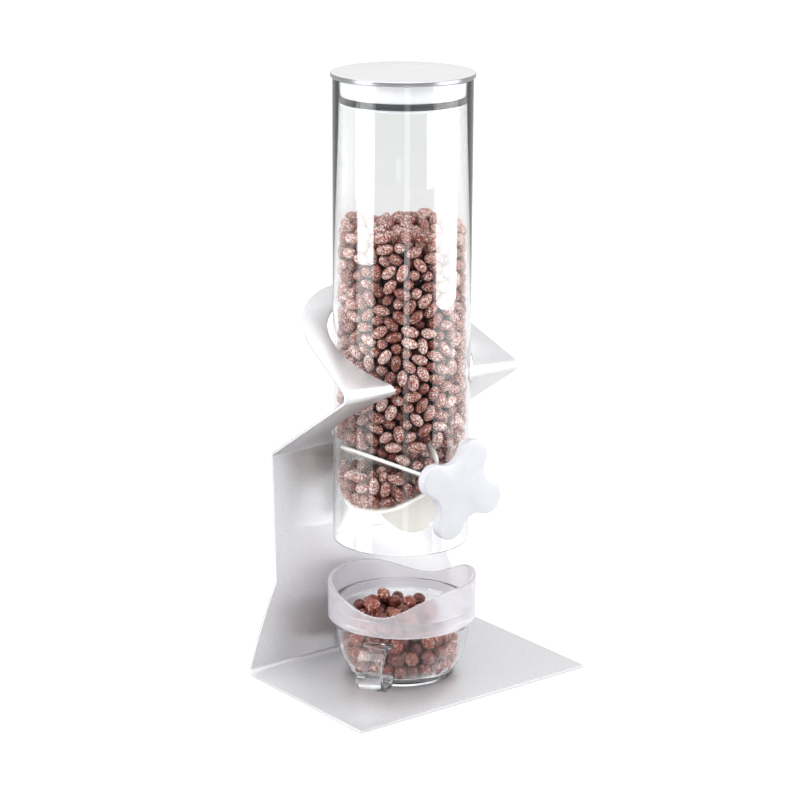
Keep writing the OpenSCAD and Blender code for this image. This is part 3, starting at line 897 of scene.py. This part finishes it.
@dataclass
class Lid:
    """Metal cap on a plastic plug with a rubber seal round it."""

    cap_r: float = 46.4
    cap_low: float = 397.9
    cap_high: float = 401.0
    plug_r: float = 41.0
    plug_low: float = 380.4
    seat_r: float = 39.0
    seal: tuple[float, float] = (382.4, 386.4)
    seal_r: float = 42.2
    # bare: width of the cap's outer ring painted darker as shade; fade: width over which that painted shade
    # fades.
    shaded_rim_width: float = 0.45
    fade: float = 0.2

    def build(self) -> None:
        """Makes the cap, the plug and the seal. The cap's outermost ring is painted darker: painted shade
        along its edge.
        """
        cap = rounded([(0, self.cap_low), (self.cap_r, self.cap_low), (self.cap_r, self.cap_high),
                       (0, self.cap_high)], (0, 0.9, 0.7, 0), 7)
        plate = revolve(cap, 192)
        # Tone 1 on the cap's outer ring paints shade along its edge.
        radius = np.hypot(plate.points[:, 0], plate.points[:, 1])
        plate.tones = np.clip((radius - self.cap_r + self.shaded_rim_width) / self.fade, 0, 1)
        make_piece("lid_plate", plate, LID_STEEL, Body.LID, ("lid_cap",))
        low, high = self.seal
        plug = rounded([(0, self.plug_low), (self.plug_r, self.plug_low), (self.plug_r, low),
                        (self.seat_r, low), (self.seat_r, high), (self.plug_r, high),
                        (self.plug_r, self.cap_low), (0, self.cap_low)],
                       (0, 1.0, 0.2, 0.2, 0.2, 0.2, 0.2, 0))
        make_piece("plug_body", revolve(plug, 160), PLUG_PP, Body.LID, ("lid_plug",))
        mid = (low + high) / 2
        band = rounded([(self.seat_r, low), (self.seal_r - 0.5, low), (self.seal_r, low + 0.9),
                        (self.seal_r - 0.5, mid), (self.seal_r, high - 0.9), (self.seal_r - 0.5, high),
                        (self.seat_r, high)], (0, 0.3, 0.5, 0.3, 0.5, 0.3, 0))
        make_piece("seal_ring", revolve(band, 160), SEAL_RUBBER, Body.LID, ("lid_seal",))


@dataclass
class Cup:
    """Clear bowl on a thick foot, with a frosted collar and a flat-band ring handle."""

    left: float = 8.0
    ahead: float = 12.0
    handle_turn: float = -147.0
    floor: float = 3.2
    recess: float = 1.6
    foot_r: float = 35.3
    foot_h: float = 6.0
    belly_r: float = 44.5
    wall: float = 2.5
    low: float = 42.0
    top: float = 51.0
    rim_r: float = 49.0
    collar_t: float = 2.6
    dip: float = 55.6
    crest_far: float = 71.5
    crest_near: float = 66.5
    ring_x: float = 50.0
    ring_z: float = 22.5
    ring_r: float = 15.5
    band: float = 3.0
    width: float = 18.0
    sunk: float = 1.4

    def side(self, z: Array) -> Array:
        """Outside radius of the belly at height z: foot radius plus a quarter wave, whose sine is
        taken at the angle whose cosine is 1 - (z - z0) / height."""
        z0 = self.floor + self.foot_h
        share = np.clip(1 - (z - z0) / (self.low - z0), 0, 1)
        return self.foot_r + (self.belly_r - self.foot_r) * np.sqrt(1 - share**2)

    def inside(self, z: Array) -> Array:
        """Inside radius at height z."""
        return np.where(z < self.low, self.side(z) - self.wall, self.rim_r - self.collar_t - self.wall)

    def bowl(self) -> Surface:
        """Closed profile: foot ring and its recess, belly, straight top, and the inside back down."""
        z0 = self.floor + self.foot_h
        angle = np.radians(np.linspace(8, 90, 15))
        out = np.column_stack([self.foot_r + (self.belly_r - self.foot_r) * np.sin(angle),
                               z0 + (self.low - z0) * (1 - np.cos(angle))])
        r_top = self.rim_r - self.collar_t - 0.05
        recess = self.floor + self.recess
        head = rounded([(0, recess), (self.foot_r - 5, recess), (self.foot_r - 4, self.floor),
                        (self.foot_r, self.floor), (self.foot_r, z0), out[0], out[1]],
                       (0, 0.6, 0.5, 1.2, 0.5, 0.1, 0), 4)[5:-10]
        tail = rounded([out[-2], out[-1], (r_top, self.low + 2), (r_top, self.top),
                        (r_top - self.wall, self.top), (r_top - self.wall, self.low + 3),
                        (self.belly_r - self.wall, self.low), (0, self.low)],
                       (0, 0.3, 0.5, 0.6, 0.6, 0.8, 0.8, 0), 4)[5:-10]
        back = np.column_stack([out[::-1, 0] - self.wall, out[::-1, 1] + 0.5])
        bottom = rounded([back[-2], (self.foot_r - self.wall, z0 + 0.5), (0, z0 + 0.5), (0, recess)],
                         (0, 2.5, 0, 0), 5)[6:12]
        profile = np.concatenate([[[0, recess]], head, out[1:-1], tail, back[1:-1], bottom,
                                  [[0, z0 + 0.5]]])
        return revolve(profile, 144)

    def rim(self, y: Array) -> Array:
        """Height of the wavy rim at the distance y from the plane through the handle: the dip plus
        the crest's rise times 1 - (1 - (y / R)^2)^3."""
        crest = np.where(y > 0, self.crest_far, self.crest_near)
        return self.dip + (crest - self.dip) * (1 - (1 - np.clip(y / self.rim_r, -1, 1) ** 2) ** 3)

    def collar(self) -> Surface:
        """A ring whose four rounded corners are carried round; its top corners, drawn at the
        height blank, are moved from there to the rim's."""
        r0, r1 = self.rim_r - self.collar_t, self.rim_r
        blank = 100
        loop = rounded([(r0, self.low), (r1, self.low), (r1, blank), (r0, blank)], (0.5, 0.9, 1.1, 1.1), 6)
        a = np.linspace(0, 2 * math.pi, 192, endpoint=False)[:, None]
        r = np.broadcast_to(loop[None, :, 0], (192, len(loop)))
        lift = np.where(loop[:, 1] > (self.low + blank) / 2, loop[:, 1] - blank, np.nan)[None, :]
        rise = self.rim(r * np.sin(a))
        z = np.where(np.isnan(lift), loop[None, :, 1], rise + lift)
        p = np.stack([r * np.cos(a), r * np.sin(a), z], axis=2)
        return Surface(p.reshape(-1, 3), grid_faces(192, len(loop), True, True)).outward()

    def handle(self) -> Surface:
        """A flat rounded band carried round the part of a circle that lies outside the bowl.

        The circle's angles are kept where its middle line is further out than the belly's
        outside less the field sunk, so that both ends sink into the wall; the ends are closed
        by rings that shrink to the band's middle.
        """
        middle = self.ring_r - self.band / 2
        a = np.radians(np.linspace(-175, 175, 701))
        x, z = self.ring_x + middle * np.cos(a), self.ring_z + middle * np.sin(a)
        keep = a[x > self.side(z) - self.sunk]
        count = 72
        a = np.linspace(keep.min(), keep.max(), count)
        half_t, half_w = self.band / 2, self.width / 2
        section = rounded([(-half_t, -half_w), (half_t, -half_w), (half_t, half_w), (-half_t, half_w)],
                          0.9, 5)
        a = np.concatenate([[a[0]], a, [a[-1]]])
        shrink = np.concatenate([[0.0], np.ones(count), [0.0]])
        rho = middle + section[None, :, 0] * shrink[:, None]
        p = np.stack([self.ring_x + rho * np.cos(a)[:, None], section[None, :, 1] * shrink[:, None],
                      self.ring_z + rho * np.sin(a)[:, None]], axis=2)
        return Surface(p.reshape(-1, 3), grid_faces(len(a), len(section), False, True)).outward()

    def placed(self, surface: Surface) -> Surface:
        """From the cup's own frame, with its handle along +X, to the canister's."""
        return surface.moved(turned(self.handle_turn), (-self.left, -self.ahead, 0))

    def build(self) -> None:
        """Makes the bowl, the collar and the handle."""
        make_piece("clear_bowl", self.placed(self.bowl()), CUP_ACRYLIC, Body.CUP, ("cup_bowl",))
        make_piece("frosted_collar", self.placed(self.collar()), FROST, Body.CUP, ("cup_collar",), 50)
        make_piece("ring_handle", self.placed(self.handle()), CUP_ACRYLIC, Body.CUP, ("cup_handle",), 50)


# ---------------------------------------------------------------- food


@dataclass
class Grains:
    """Rod-shaped grains with round ends that settle under gravity.

    Fields:
        radius: radius of the rod.
        reach: distance from its middle to the centre of each round end.
        ends: (n, 2, 3) the two end centres of each grain.
    """

    radius: float
    reach: float
    ends: Array

    def contacts(self, margin: float) -> tuple[Array, Array]:
        """Numbers of the pairs whose middles are near enough to touch."""
        c = self.ends.mean(1)
        sq = (c * c).sum(1)
        far = sq[:, None] + sq[None, :] - 2 * c @ c.T
        i, j = np.nonzero(np.triu(far < (2 * (self.radius + self.reach) + margin) ** 2, 1))
        return i, j

    def push_apart(self, i: Array, j: Array, share: float) -> None:
        """Moves touching pairs apart along the shortest line between their two middle lines.

        The nearest points of two segments come from clamping the answer of the two linear
        equations for lines first on one segment, then on the other.
        """
        p, q = self.ends[i, 0], self.ends[j, 0]
        u, v = self.ends[i, 1] - p, self.ends[j, 1] - q
        w = p - q
        uu, vv, uv = (u * u).sum(1), (v * v).sum(1), (u * v).sum(1)
        uw, vw = (u * w).sum(1), (v * w).sum(1)
        s = np.clip((uv * vw - vv * uw) / np.maximum(uu * vv - uv * uv, 1e-9), 0, 1)
        t = np.clip((uv * s + vw) / np.maximum(vv, 1e-9), 0, 1)
        s = np.clip((uv * t - uw) / np.maximum(uu, 1e-9), 0, 1)
        gap = w + u * s[:, None] - v * t[:, None]
        size = np.maximum(np.linalg.norm(gap, axis=1), 1e-6)
        deep = 2 * self.radius - size
        hit = deep > 0
        i, j, s, t = i[hit], j[hit], s[hit], t[hit]
        move = gap[hit] / size[hit, None] * (deep[hit] * 0.5 * share)[:, None]
        total = np.zeros(self.ends.shape)
        for who, part, way in ((i, s, 1.0), (j, t, -1.0)):
            weight = (1 - part) ** 2 + part**2
            for end, amount in ((0, (1 - part) / weight), (1, part / weight)):
                for axis in range(3):
                    total[:, end, axis] += np.bincount(who, way * amount * move[:, axis], len(self.ends))
        self.ends += total

    def keep_length(self) -> None:
        """Puts both ends of each grain back at its reach from the middle."""
        c = self.ends.mean(1, keepdims=True)
        d = self.ends[:, 1:] - c
        d /= np.maximum(np.linalg.norm(d, axis=2, keepdims=True), 1e-9)
        self.ends = np.concatenate([c - d * self.reach, c + d * self.reach], axis=1)

    def settle(self, inside: Callable[[Array], Array], steps: int, fall: float, rest: int) -> None:
        """Lets the grains fall and push each other apart.

        Args:
            inside: moves end centres back into the space that holds them.
            steps: rounds with gravity.
            fall: distance that a grain sinks in a round.
            rest: rounds without gravity at the end, which open the overlaps that are left.
        """
        for k in range(steps + rest):
            if k % 4 == 0:
                i, j = self.contacts(2.0)
            if k < steps:
                self.ends[:, :, 2] -= fall * (1 - 0.75 * k / steps)
            self.push_apart(i, j, 0.55 if k < steps else 0.7)
            self.keep_length()
            self.ends = inside(self.ends)


def grain_shapes(rng: np.random.Generator, kinds: int, size: tuple[float, float, float],
                 lumps: float) -> tuple[Array, Array]:
    """A few egg-like shapes along X, each a grid of 10 x 7 points with its own slow lumps.

    Each point is the ellipsoid's, a little fatter towards one end, times 1 plus lumps times a
    sum of low waves in its two angles.

    Args:
        rng: source of chance.
        kinds: number of shapes.
        size: half-lengths along and across.
        lumps: share by which the lumps change the size.

    Returns:
        (kinds, points, 3) coordinates and (faces, 4) point numbers.
    """
    around = np.linspace(0, 2 * math.pi, 10, endpoint=False)[None, None, :]
    along = np.linspace(0, math.pi, 7)[None, :, None]
    phase = rng.uniform(0, 2 * math.pi, (kinds, 4, 1, 1))
    wave = (np.sin(2 * around + phase[:, 0]) + np.sin(3 * around + 2 * along + phase[:, 1])
            + np.sin(3 * along + phase[:, 2]) + np.sin(around - 2 * along + phase[:, 3])) / 2
    scale = 1 + lumps * wave * np.sin(along)
    egg = 1 + 0.07 * np.cos(along)
    x = size[0] * np.cos(along) * np.ones_like(scale)
    y = size[1] * np.sin(along) * np.cos(around) * scale * egg
    z = size[2] * np.sin(along) * np.sin(around) * scale * egg
    points = np.stack(np.broadcast_arrays(x, y, z), axis=3).reshape(kinds, -1, 3)
    return points, grid_faces(7, 10, False, True)


def grains_surface(grains: Grains, rng: np.random.Generator, size: tuple[float, float, float],
                   lumps: float) -> Surface:
    """One lumpy egg at each grain, along its rod, with its own roll, tone and slight change of size."""
    n = len(grains.ends)
    shapes, faces = grain_shapes(rng, 8, size, lumps)
    pick = rng.integers(0, len(shapes), n)
    flip = np.where(rng.random(n) < 0.5, -1.0, 1.0)
    d = (grains.ends[:, 1] - grains.ends[:, 0]) * flip[:, None]
    d /= np.linalg.norm(d, axis=1, keepdims=True)
    side = rng.normal(size=(n, 3))
    side -= (side * d).sum(1, keepdims=True) * d
    side /= np.linalg.norm(side, axis=1, keepdims=True)
    third = np.cross(d, side)
    local = shapes[pick] * rng.uniform(0.93, 1.03, (n, 1, 1))
    p = (local[..., :1] * d[:, None] + local[..., 1:2] * side[:, None] + local[..., 2:] * third[:, None]
         + grains.ends.mean(1)[:, None])
    count = p.shape[1]
    quads = (faces[None] + (np.arange(n) * count)[:, None, None]).reshape(-1, 4)
    tones = np.repeat(0.5 + 0.5 * rng.random(n), count)
    return Surface(p.reshape(-1, 3), quads, tones).outward()


def random_rods(rng: np.random.Generator, centres: Array, reach: float, flat: float = 1.0) -> Array:
    """End centres of rods at the given middles, each pointing its own way; flat under 1 lays them down."""
    d = rng.normal(size=centres.shape) * np.array([1, 1, flat])
    d /= np.linalg.norm(d, axis=1, keepdims=True)
    return np.stack([centres - d * reach, centres + d * reach], axis=1)


@dataclass
class Food:
    """The dry food: a column on the wheel, fillings of the wheel's pockets, and the cup's portion.

    Fields:
        cup: the cup that holds the portion.
        bore_r: radius of the tube's bore.
        ball_r: radius of the ball that the blades sweep.
        wall_gap, ball_gap: room kept to the bore or a blade, and to the ball.
        blade_half: half the thickness of a blade.
        hub_r: radius of the hub and the room kept to it.
        half: how far the food in the wheel may reach along the wheel's axis, either way.
        radius, reach: rod of a pellet, as the packing sees it.
        pellet: half-lengths of a pellet along and across.
        wave: height of the column's uneven top, and its two lengths over one radian.
        shown_depth: depth behind the wall past which a pellet has no tone, which paints it in shade.
        top_layer: height of the column's top that keeps its tone throughout, free of that painted shade.
        chunk, chunk_radius, chunk_reach: the same as for a pellet, for the cup's rounder chunks.
        heap: where the heap's peak lies from the cup's axis.
    """

    cup: Cup
    bore_r: float = 42.5
    ball_r: float = 42.0
    wall_gap: float = 0.15
    ball_gap: float = 0.25
    blade_half: float = 1.1
    hub_r: float = 5.2
    half: float = 39.0
    radius: float = 3.6
    reach: float = 2.1
    column_count: int = 1400
    column_top: float = 303.0
    pocket_count: int = 58
    portion_count: int = 235
    pellet: tuple[float, float, float] = (5.8, 3.6, 3.5)
    wave: tuple[float, float, float] = (3.5, 13.0, 11.0)
    shown_depth: float = 11.0
    top_layer: float = 16.0
    chunk: tuple[float, float, float] = (4.9, 4.45, 4.35)
    chunk_radius: float = 4.2
    chunk_reach: float = 0.75
    heap: tuple[float, float] = (4.0, -3.0)

    def column(self) -> Surface:
        """Food in the tube above the ball that the blades sweep.

        Ends stay inside the bore less their radius, outside the swept ball plus their radius,
        and under a top that waves by a few millimetres as the product of two waves across it.
        Pellets deeper than about 9 mm behind the wall lose their tone, because little light
        reaches them.
        """
        rng = np.random.default_rng(11)
        limit, ball = self.bore_r - self.wall_gap - self.radius, self.ball_r + self.ball_gap + self.radius
        a = rng.uniform(0, 2 * math.pi, self.column_count * 2)
        r = limit * np.sqrt(rng.random(len(a)))
        z = (self.column_top - WHEEL_Z) * rng.random(len(a))
        c = np.column_stack([r * np.cos(a), r * np.sin(a), z])
        c = c[np.linalg.norm(c, axis=1) > ball][: self.column_count] + np.array([0, 0, WHEEL_Z])
        grains = Grains(self.radius, self.reach, random_rods(rng, c, self.reach))

        def inside(p: Array) -> Array:
            """Back inside the bore, under the top and out of the ball."""
            rel = p - np.array([0, 0, WHEEL_Z])
            rise, long_x, long_y = self.wave
            lift = rise * np.sin(rel[..., 0] / long_x + 0.5) * np.cos(rel[..., 1] / long_y)
            rel[..., 2] = np.clip(rel[..., 2], 5.0, self.column_top - WHEEL_Z - self.radius + lift)
            far = np.linalg.norm(rel, axis=-1, keepdims=True)
            rel = np.where(far < ball, rel * ball / np.maximum(far, 1e-6), rel)
            flat = np.linalg.norm(rel[..., :2], axis=-1, keepdims=True)
            over = flat > limit
            rel[..., :2] = np.where(over, rel[..., :2] * limit / np.maximum(flat, 1e-6), rel[..., :2])
            short = np.sqrt(np.maximum(ball**2 - (rel[..., :2] ** 2).sum(-1), 0))
            rel[..., 2] = np.maximum(rel[..., 2], short)
            return rel + np.array([0, 0, WHEEL_Z])

        grains.settle(inside, 200, 0.02, 60)
        LOG.info("column top %.1f mm", np.percentile(grains.ends[:, :, 2], 99))
        surface = grains_surface(grains, rng, self.pellet, 0.05)
        middle = grains.ends.mean(1)
        # Painted shade: pellets deep behind the wall, except in the top layer, lose their tone and turn near
        # black.
        depth = self.bore_r - np.hypot(middle[:, 0], middle[:, 1])
        above = middle[:, 2] - (self.column_top - self.top_layer)
        shown = np.maximum(np.clip((self.shown_depth - depth) / 4.0, 0, 1), np.clip(above / 5.0, 0, 1))
        surface.tones = surface.tones * np.repeat(shown, len(surface.points) // len(shown))
        return surface

    def pockets(self) -> Surface:
        """Food between the blades at 334, 34, 94, 154 and 214 degrees, inside the swept ball.

        In it, first and last are the directions square to the pocket's two blades, pointing
        into the pocket.
        """
        rng = np.random.default_rng(5)
        starts = np.radians([334.0, 34.0, 94.0, 154.0])
        which = np.repeat(np.arange(4), self.pocket_count)
        mid = starts[which] + math.radians(30)
        ball = self.ball_r - self.ball_gap - self.radius
        gap = self.blade_half + self.wall_gap + self.radius
        hub = self.hub_r + self.radius
        side = self.half - self.radius
        rho = rng.uniform(14, 30, len(which))
        turn = mid + rng.uniform(-0.25, 0.25, len(which))
        y = rng.uniform(-1, 1, len(which)) * np.sqrt(ball**2 - rho**2) * 0.9
        c = np.column_stack([rho * np.cos(turn), y, rho * np.sin(turn)])
        grains = Grains(self.radius, self.reach, random_rods(rng, c, self.reach))
        first = np.stack([-np.sin(starts), np.cos(starts)], 1)[which][:, None]
        last = np.stack([np.sin(starts + math.pi / 3), -np.cos(starts + math.pi / 3)], 1)[which][:, None]

        def inside(p: Array) -> Array:
            """Back inside the ball, off both blades and off the hub."""
            for way in (first, last, first, last):
                flat = p[..., ::2]
                short = np.maximum(gap - (flat * way).sum(-1, keepdims=True), 0)
                p[..., 0] += (short * way)[..., 0]
                p[..., 2] += (short * way)[..., 1]
                axis = np.linalg.norm(p[..., ::2], axis=-1)
                near = np.where(axis < hub, hub / np.maximum(axis, 1e-6), 1.0)
                p[..., 0] *= near
                p[..., 2] *= near
                far = np.linalg.norm(p, axis=-1, keepdims=True)
                p = np.where(far > ball, p * ball / np.maximum(far, 1e-6), p)
                p[..., 1] = np.clip(p[..., 1], -side, side)
            return p

        grains.settle(inside, 160, 0.25, 80)
        grains.ends = grains.ends + np.array([0, 0, WHEEL_Z])
        length, width, height = self.pellet
        return grains_surface(grains, rng, (length, width * 0.98, height * 0.98), 0.05)

    def portion(self) -> Surface:
        """A heap of rounder chunks in the cup."""
        rng = np.random.default_rng(23)
        radius, reach = self.chunk_radius, self.chunk_reach
        floor = self.cup.floor + self.cup.foot_h + 0.6
        a = rng.uniform(0, 2 * math.pi, self.portion_count)
        r = 24 * np.sqrt(rng.random(self.portion_count))
        z = floor + 6 + 95 * rng.random(self.portion_count)
        c = np.column_stack([r * np.cos(a) + self.heap[0], r * np.sin(a) + self.heap[1], z])
        grains = Grains(radius, reach, random_rods(rng, c, reach))

        def inside(p: Array) -> Array:
            """Back above the floor and off the bowl's wall."""
            p[..., 2] = np.maximum(p[..., 2], floor + radius)
            limit = self.cup.inside(p[..., 2]) - 0.4 - radius
            flat = np.linalg.norm(p[..., :2], axis=-1)
            near = np.where(flat > limit, limit / np.maximum(flat, 1e-6), 1.0)
            p[..., :2] *= near[..., None]
            return p

        grains.settle(inside, 170, 0.6, 60)
        LOG.info("portion top %.1f mm", grains.ends[:, :, 2].max() + radius)
        return self.cup.placed(grains_surface(grains, rng, self.chunk, 0.09))

    def build(self) -> None:
        """Makes the three lots of food."""
        make_piece("food_column", self.column(), PELLETS, Body.STAND, sharp_degrees=120)
        make_piece("food_in_wheel", self.pockets(), PELLETS, Body.WHEEL, sharp_degrees=120)
        make_piece("food_in_cup", self.portion(), CRUNCHY, Body.CUP, sharp_degrees=120)


# ---------------------------------------------------------------- studio


@dataclass(frozen=True)
class Softbox:
    """An area lamp that stands round the object.

    Fields:
        name: its name.
        bearing: degrees from the camera's side, positive to the camera's right.
        distance: from the object's axis, in metres.
        height: of its middle, in metres.
        size: width and height, in metres.
        radiance: brightness of its face.
        aim: height of the point it faces, in metres.
        colour: of its light.
        only: name of the one piece that it lights, as a card held for that piece's highlight
            does; empty for a lamp that lights everything.
    """

    name: str
    bearing: float
    distance: float
    height: float
    size: tuple[float, float]
    radiance: float
    aim: float = 0.2
    colour: str = "#FFFFFF"
    only: str = ""


@dataclass
class Studio:
    """Paper floor, white surroundings, softboxes and the camera."""

    azimuth: float = -37.7539
    elevation: float = 14.8831
    roll: float = 0.2965
    distance: float = 1.68112
    side_step: float = -1.0442
    aim_z: float = 210.98
    focal_px: float = 2578.30
    shift_px: float = -40.0
    frame_px: float = 800.0
    front_light: float = 0.46
    back_light: float = 0.84
    floor_half: float = 12.0
    lamps: tuple[Softbox, ...] = (
        Softbox("left softbox", -63, 0.62, 0.42, (0.34, 0.80), 3.4, 0.42),
        Softbox("right softbox", 75, 0.62, 0.46, (0.50, 0.86), 2.7, 0.46),
        Softbox("narrow strip", 7.5, 0.62, 0.13, (0.10, 0.16), 2.5, 0.13),
        Softbox("overhead softbox", -20, 0.25, 1.35, (1.8, 1.8), 2.1, 0.1),
        Softbox("left highlight card", -61, 0.62, 0.2365, (0.33, 0.127), 13.0, 0.2365, only="clear_tube"),
        Softbox("right highlight card", 77, 0.62, 0.21, (0.48, 0.188), 13.0, 0.21, only="clear_tube"),
    )

    def camera(self) -> None:
        """Long-lens camera aimed from its azimuth and elevation, with its roll and shift."""
        az, el, roll = (math.radians(v) for v in (self.azimuth, self.elevation, self.roll))
        back = Vector((math.sin(az) * math.cos(el), -math.cos(az) * math.cos(el), math.sin(el)))
        right = (-back).cross(Vector((0, 0, 1))).normalized()
        up = right.cross(-back)
        x = right * math.cos(roll) + up * math.sin(roll)
        y = -right * math.sin(roll) + up * math.cos(roll)
        aim = Vector((0, AXIS_Y * MM, (self.aim_z + 1.0) * MM)) + right * self.side_step * MM
        data = bpy.data.cameras.new("camera")
        data.sensor_width = 36.0
        data.lens = self.focal_px * data.sensor_width / self.frame_px
        data.shift_y = self.shift_px / self.frame_px
        data.clip_start, data.clip_end = 0.05, 100.0
        obj = bpy.data.objects.new("camera", data)
        basis = Matrix((x, y, back)).transposed().to_4x4()
        basis.translation = aim + back * self.distance
        obj.matrix_world = basis
        bpy.context.scene.collection.objects.link(obj)
        bpy.context.scene.camera = obj

    def lamp(self, box: Softbox) -> None:
        """An area lamp whose power is pi times its area times its radiance."""
        az = math.radians(self.azimuth)
        toward = Vector((math.sin(az), -math.cos(az), 0))
        right = Vector((math.cos(az), math.sin(az), 0))
        b = math.radians(box.bearing)
        spot = (toward * math.cos(b) + right * math.sin(b)) * box.distance
        data = bpy.data.lights.new(box.name, "AREA")
        data.shape = "RECTANGLE"
        data.size, data.size_y = box.size
        data.energy = box.radiance * math.pi * box.size[0] * box.size[1]
        data.color = linear(box.colour)[:3]
        obj = bpy.data.objects.new(box.name, data)
        obj.location = spot + Vector((0, AXIS_Y * MM, box.height))
        face = Vector((0, AXIS_Y * MM, box.aim)) - obj.location
        obj.rotation_euler = face.to_track_quat("-Z", "Y").to_euler()
        obj.visible_camera = False
        bpy.context.scene.collection.objects.link(obj)
        if box.only:
            lit = bpy.data.collections.new(f"lit by {box.name}")
            lit.objects.link(bpy.data.objects[box.only])
            obj.light_linking.receiver_collection = lit

    def world(self) -> None:
        """Plain surroundings, grey on the camera's side and light behind the object.

        The light rises smoothly with the cosine between a direction and the one that leads
        away from the camera, and the background itself is white.
        """
        world = bpy.data.worlds.new("white studio")
        bpy.context.scene.world = world
        world.use_nodes = True
        tree = world.node_tree
        tree.nodes.clear()
        ray = add_node(tree, "ShaderNodeLightPath")
        az = math.radians(self.azimuth)
        way = add_node(tree, "ShaderNodeTexCoord").outputs["Generated"]
        cosine = add_node(tree, "ShaderNodeVectorMath", settings={"operation": "DOT_PRODUCT"},
                          values={1: (-math.sin(az), math.cos(az), 0.15)}, links={0: way})
        level = add_node(tree, "ShaderNodeMapRange", settings={"interpolation_type": "SMOOTHSTEP"},
                         values={"From Min": -0.5, "From Max": 0.8, "To Min": self.front_light,
                                 "To Max": self.back_light}, links={"Value": cosine.outputs["Value"]})
        lit = add_node(tree, "ShaderNodeBackground", values={"Color": (1, 1, 1, 1)},
                       links={"Strength": level.outputs["Result"]})
        seen = add_node(tree, "ShaderNodeBackground", values={"Color": (1, 1, 1, 1), "Strength": 1.0})
        mix = add_node(tree, "ShaderNodeMixShader", links={0: ray.outputs["Is Camera Ray"],
                       1: lit.outputs["Background"], 2: seen.outputs["Background"]})
        add_node(tree, "ShaderNodeOutputWorld", links={"Surface": mix.outputs["Shader"]})

    def floor(self) -> None:
        """A flat sheet of paper under the pads."""
        h = self.floor_half / MM
        corners = np.array([(-h, -h, 0), (h, -h, 0), (h, h, 0), (-h, h, 0)], float)
        obj = write_mesh("paper_floor", Surface(corners, np.array([[0, 1, 2, 3]])), 40)
        obj.data.materials.append(material_of(PAPER))
        obj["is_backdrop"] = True

    def build(self) -> None:
        """Sets the camera, the surroundings and the floor up."""
        self.camera()
        self.world()
        self.floor()
        bpy.context.scene.view_settings.view_transform = "Standard"
        bpy.context.scene.view_settings.look = "None"

    def light(self) -> None:
        """Puts up the lamps, once the pieces that they light are there."""
        for box in self.lamps:
            self.lamp(box)


def corners(bounds: tuple[Vector, Vector]) -> list[list[float]]:
    """A box's two corners as plain lists."""
    return [[float(v) for v in corner] for corner in bounds]


def main() -> None:
    """Builds the studio and every sub-assembly."""
    logging.basicConfig(level=logging.INFO, format="%(message)s")
    cad = corners(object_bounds())
    studio = Studio()
    studio.build()
    cup = Cup()
    Stand().build()
    Canister().build()
    PortionWheel().build()
    Lid().build()
    cup.build()
    Food(cup).build()
    studio.light()
    {"cad": cad, "visual": corners(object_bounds())}


if __name__ == "__main__":
    main()
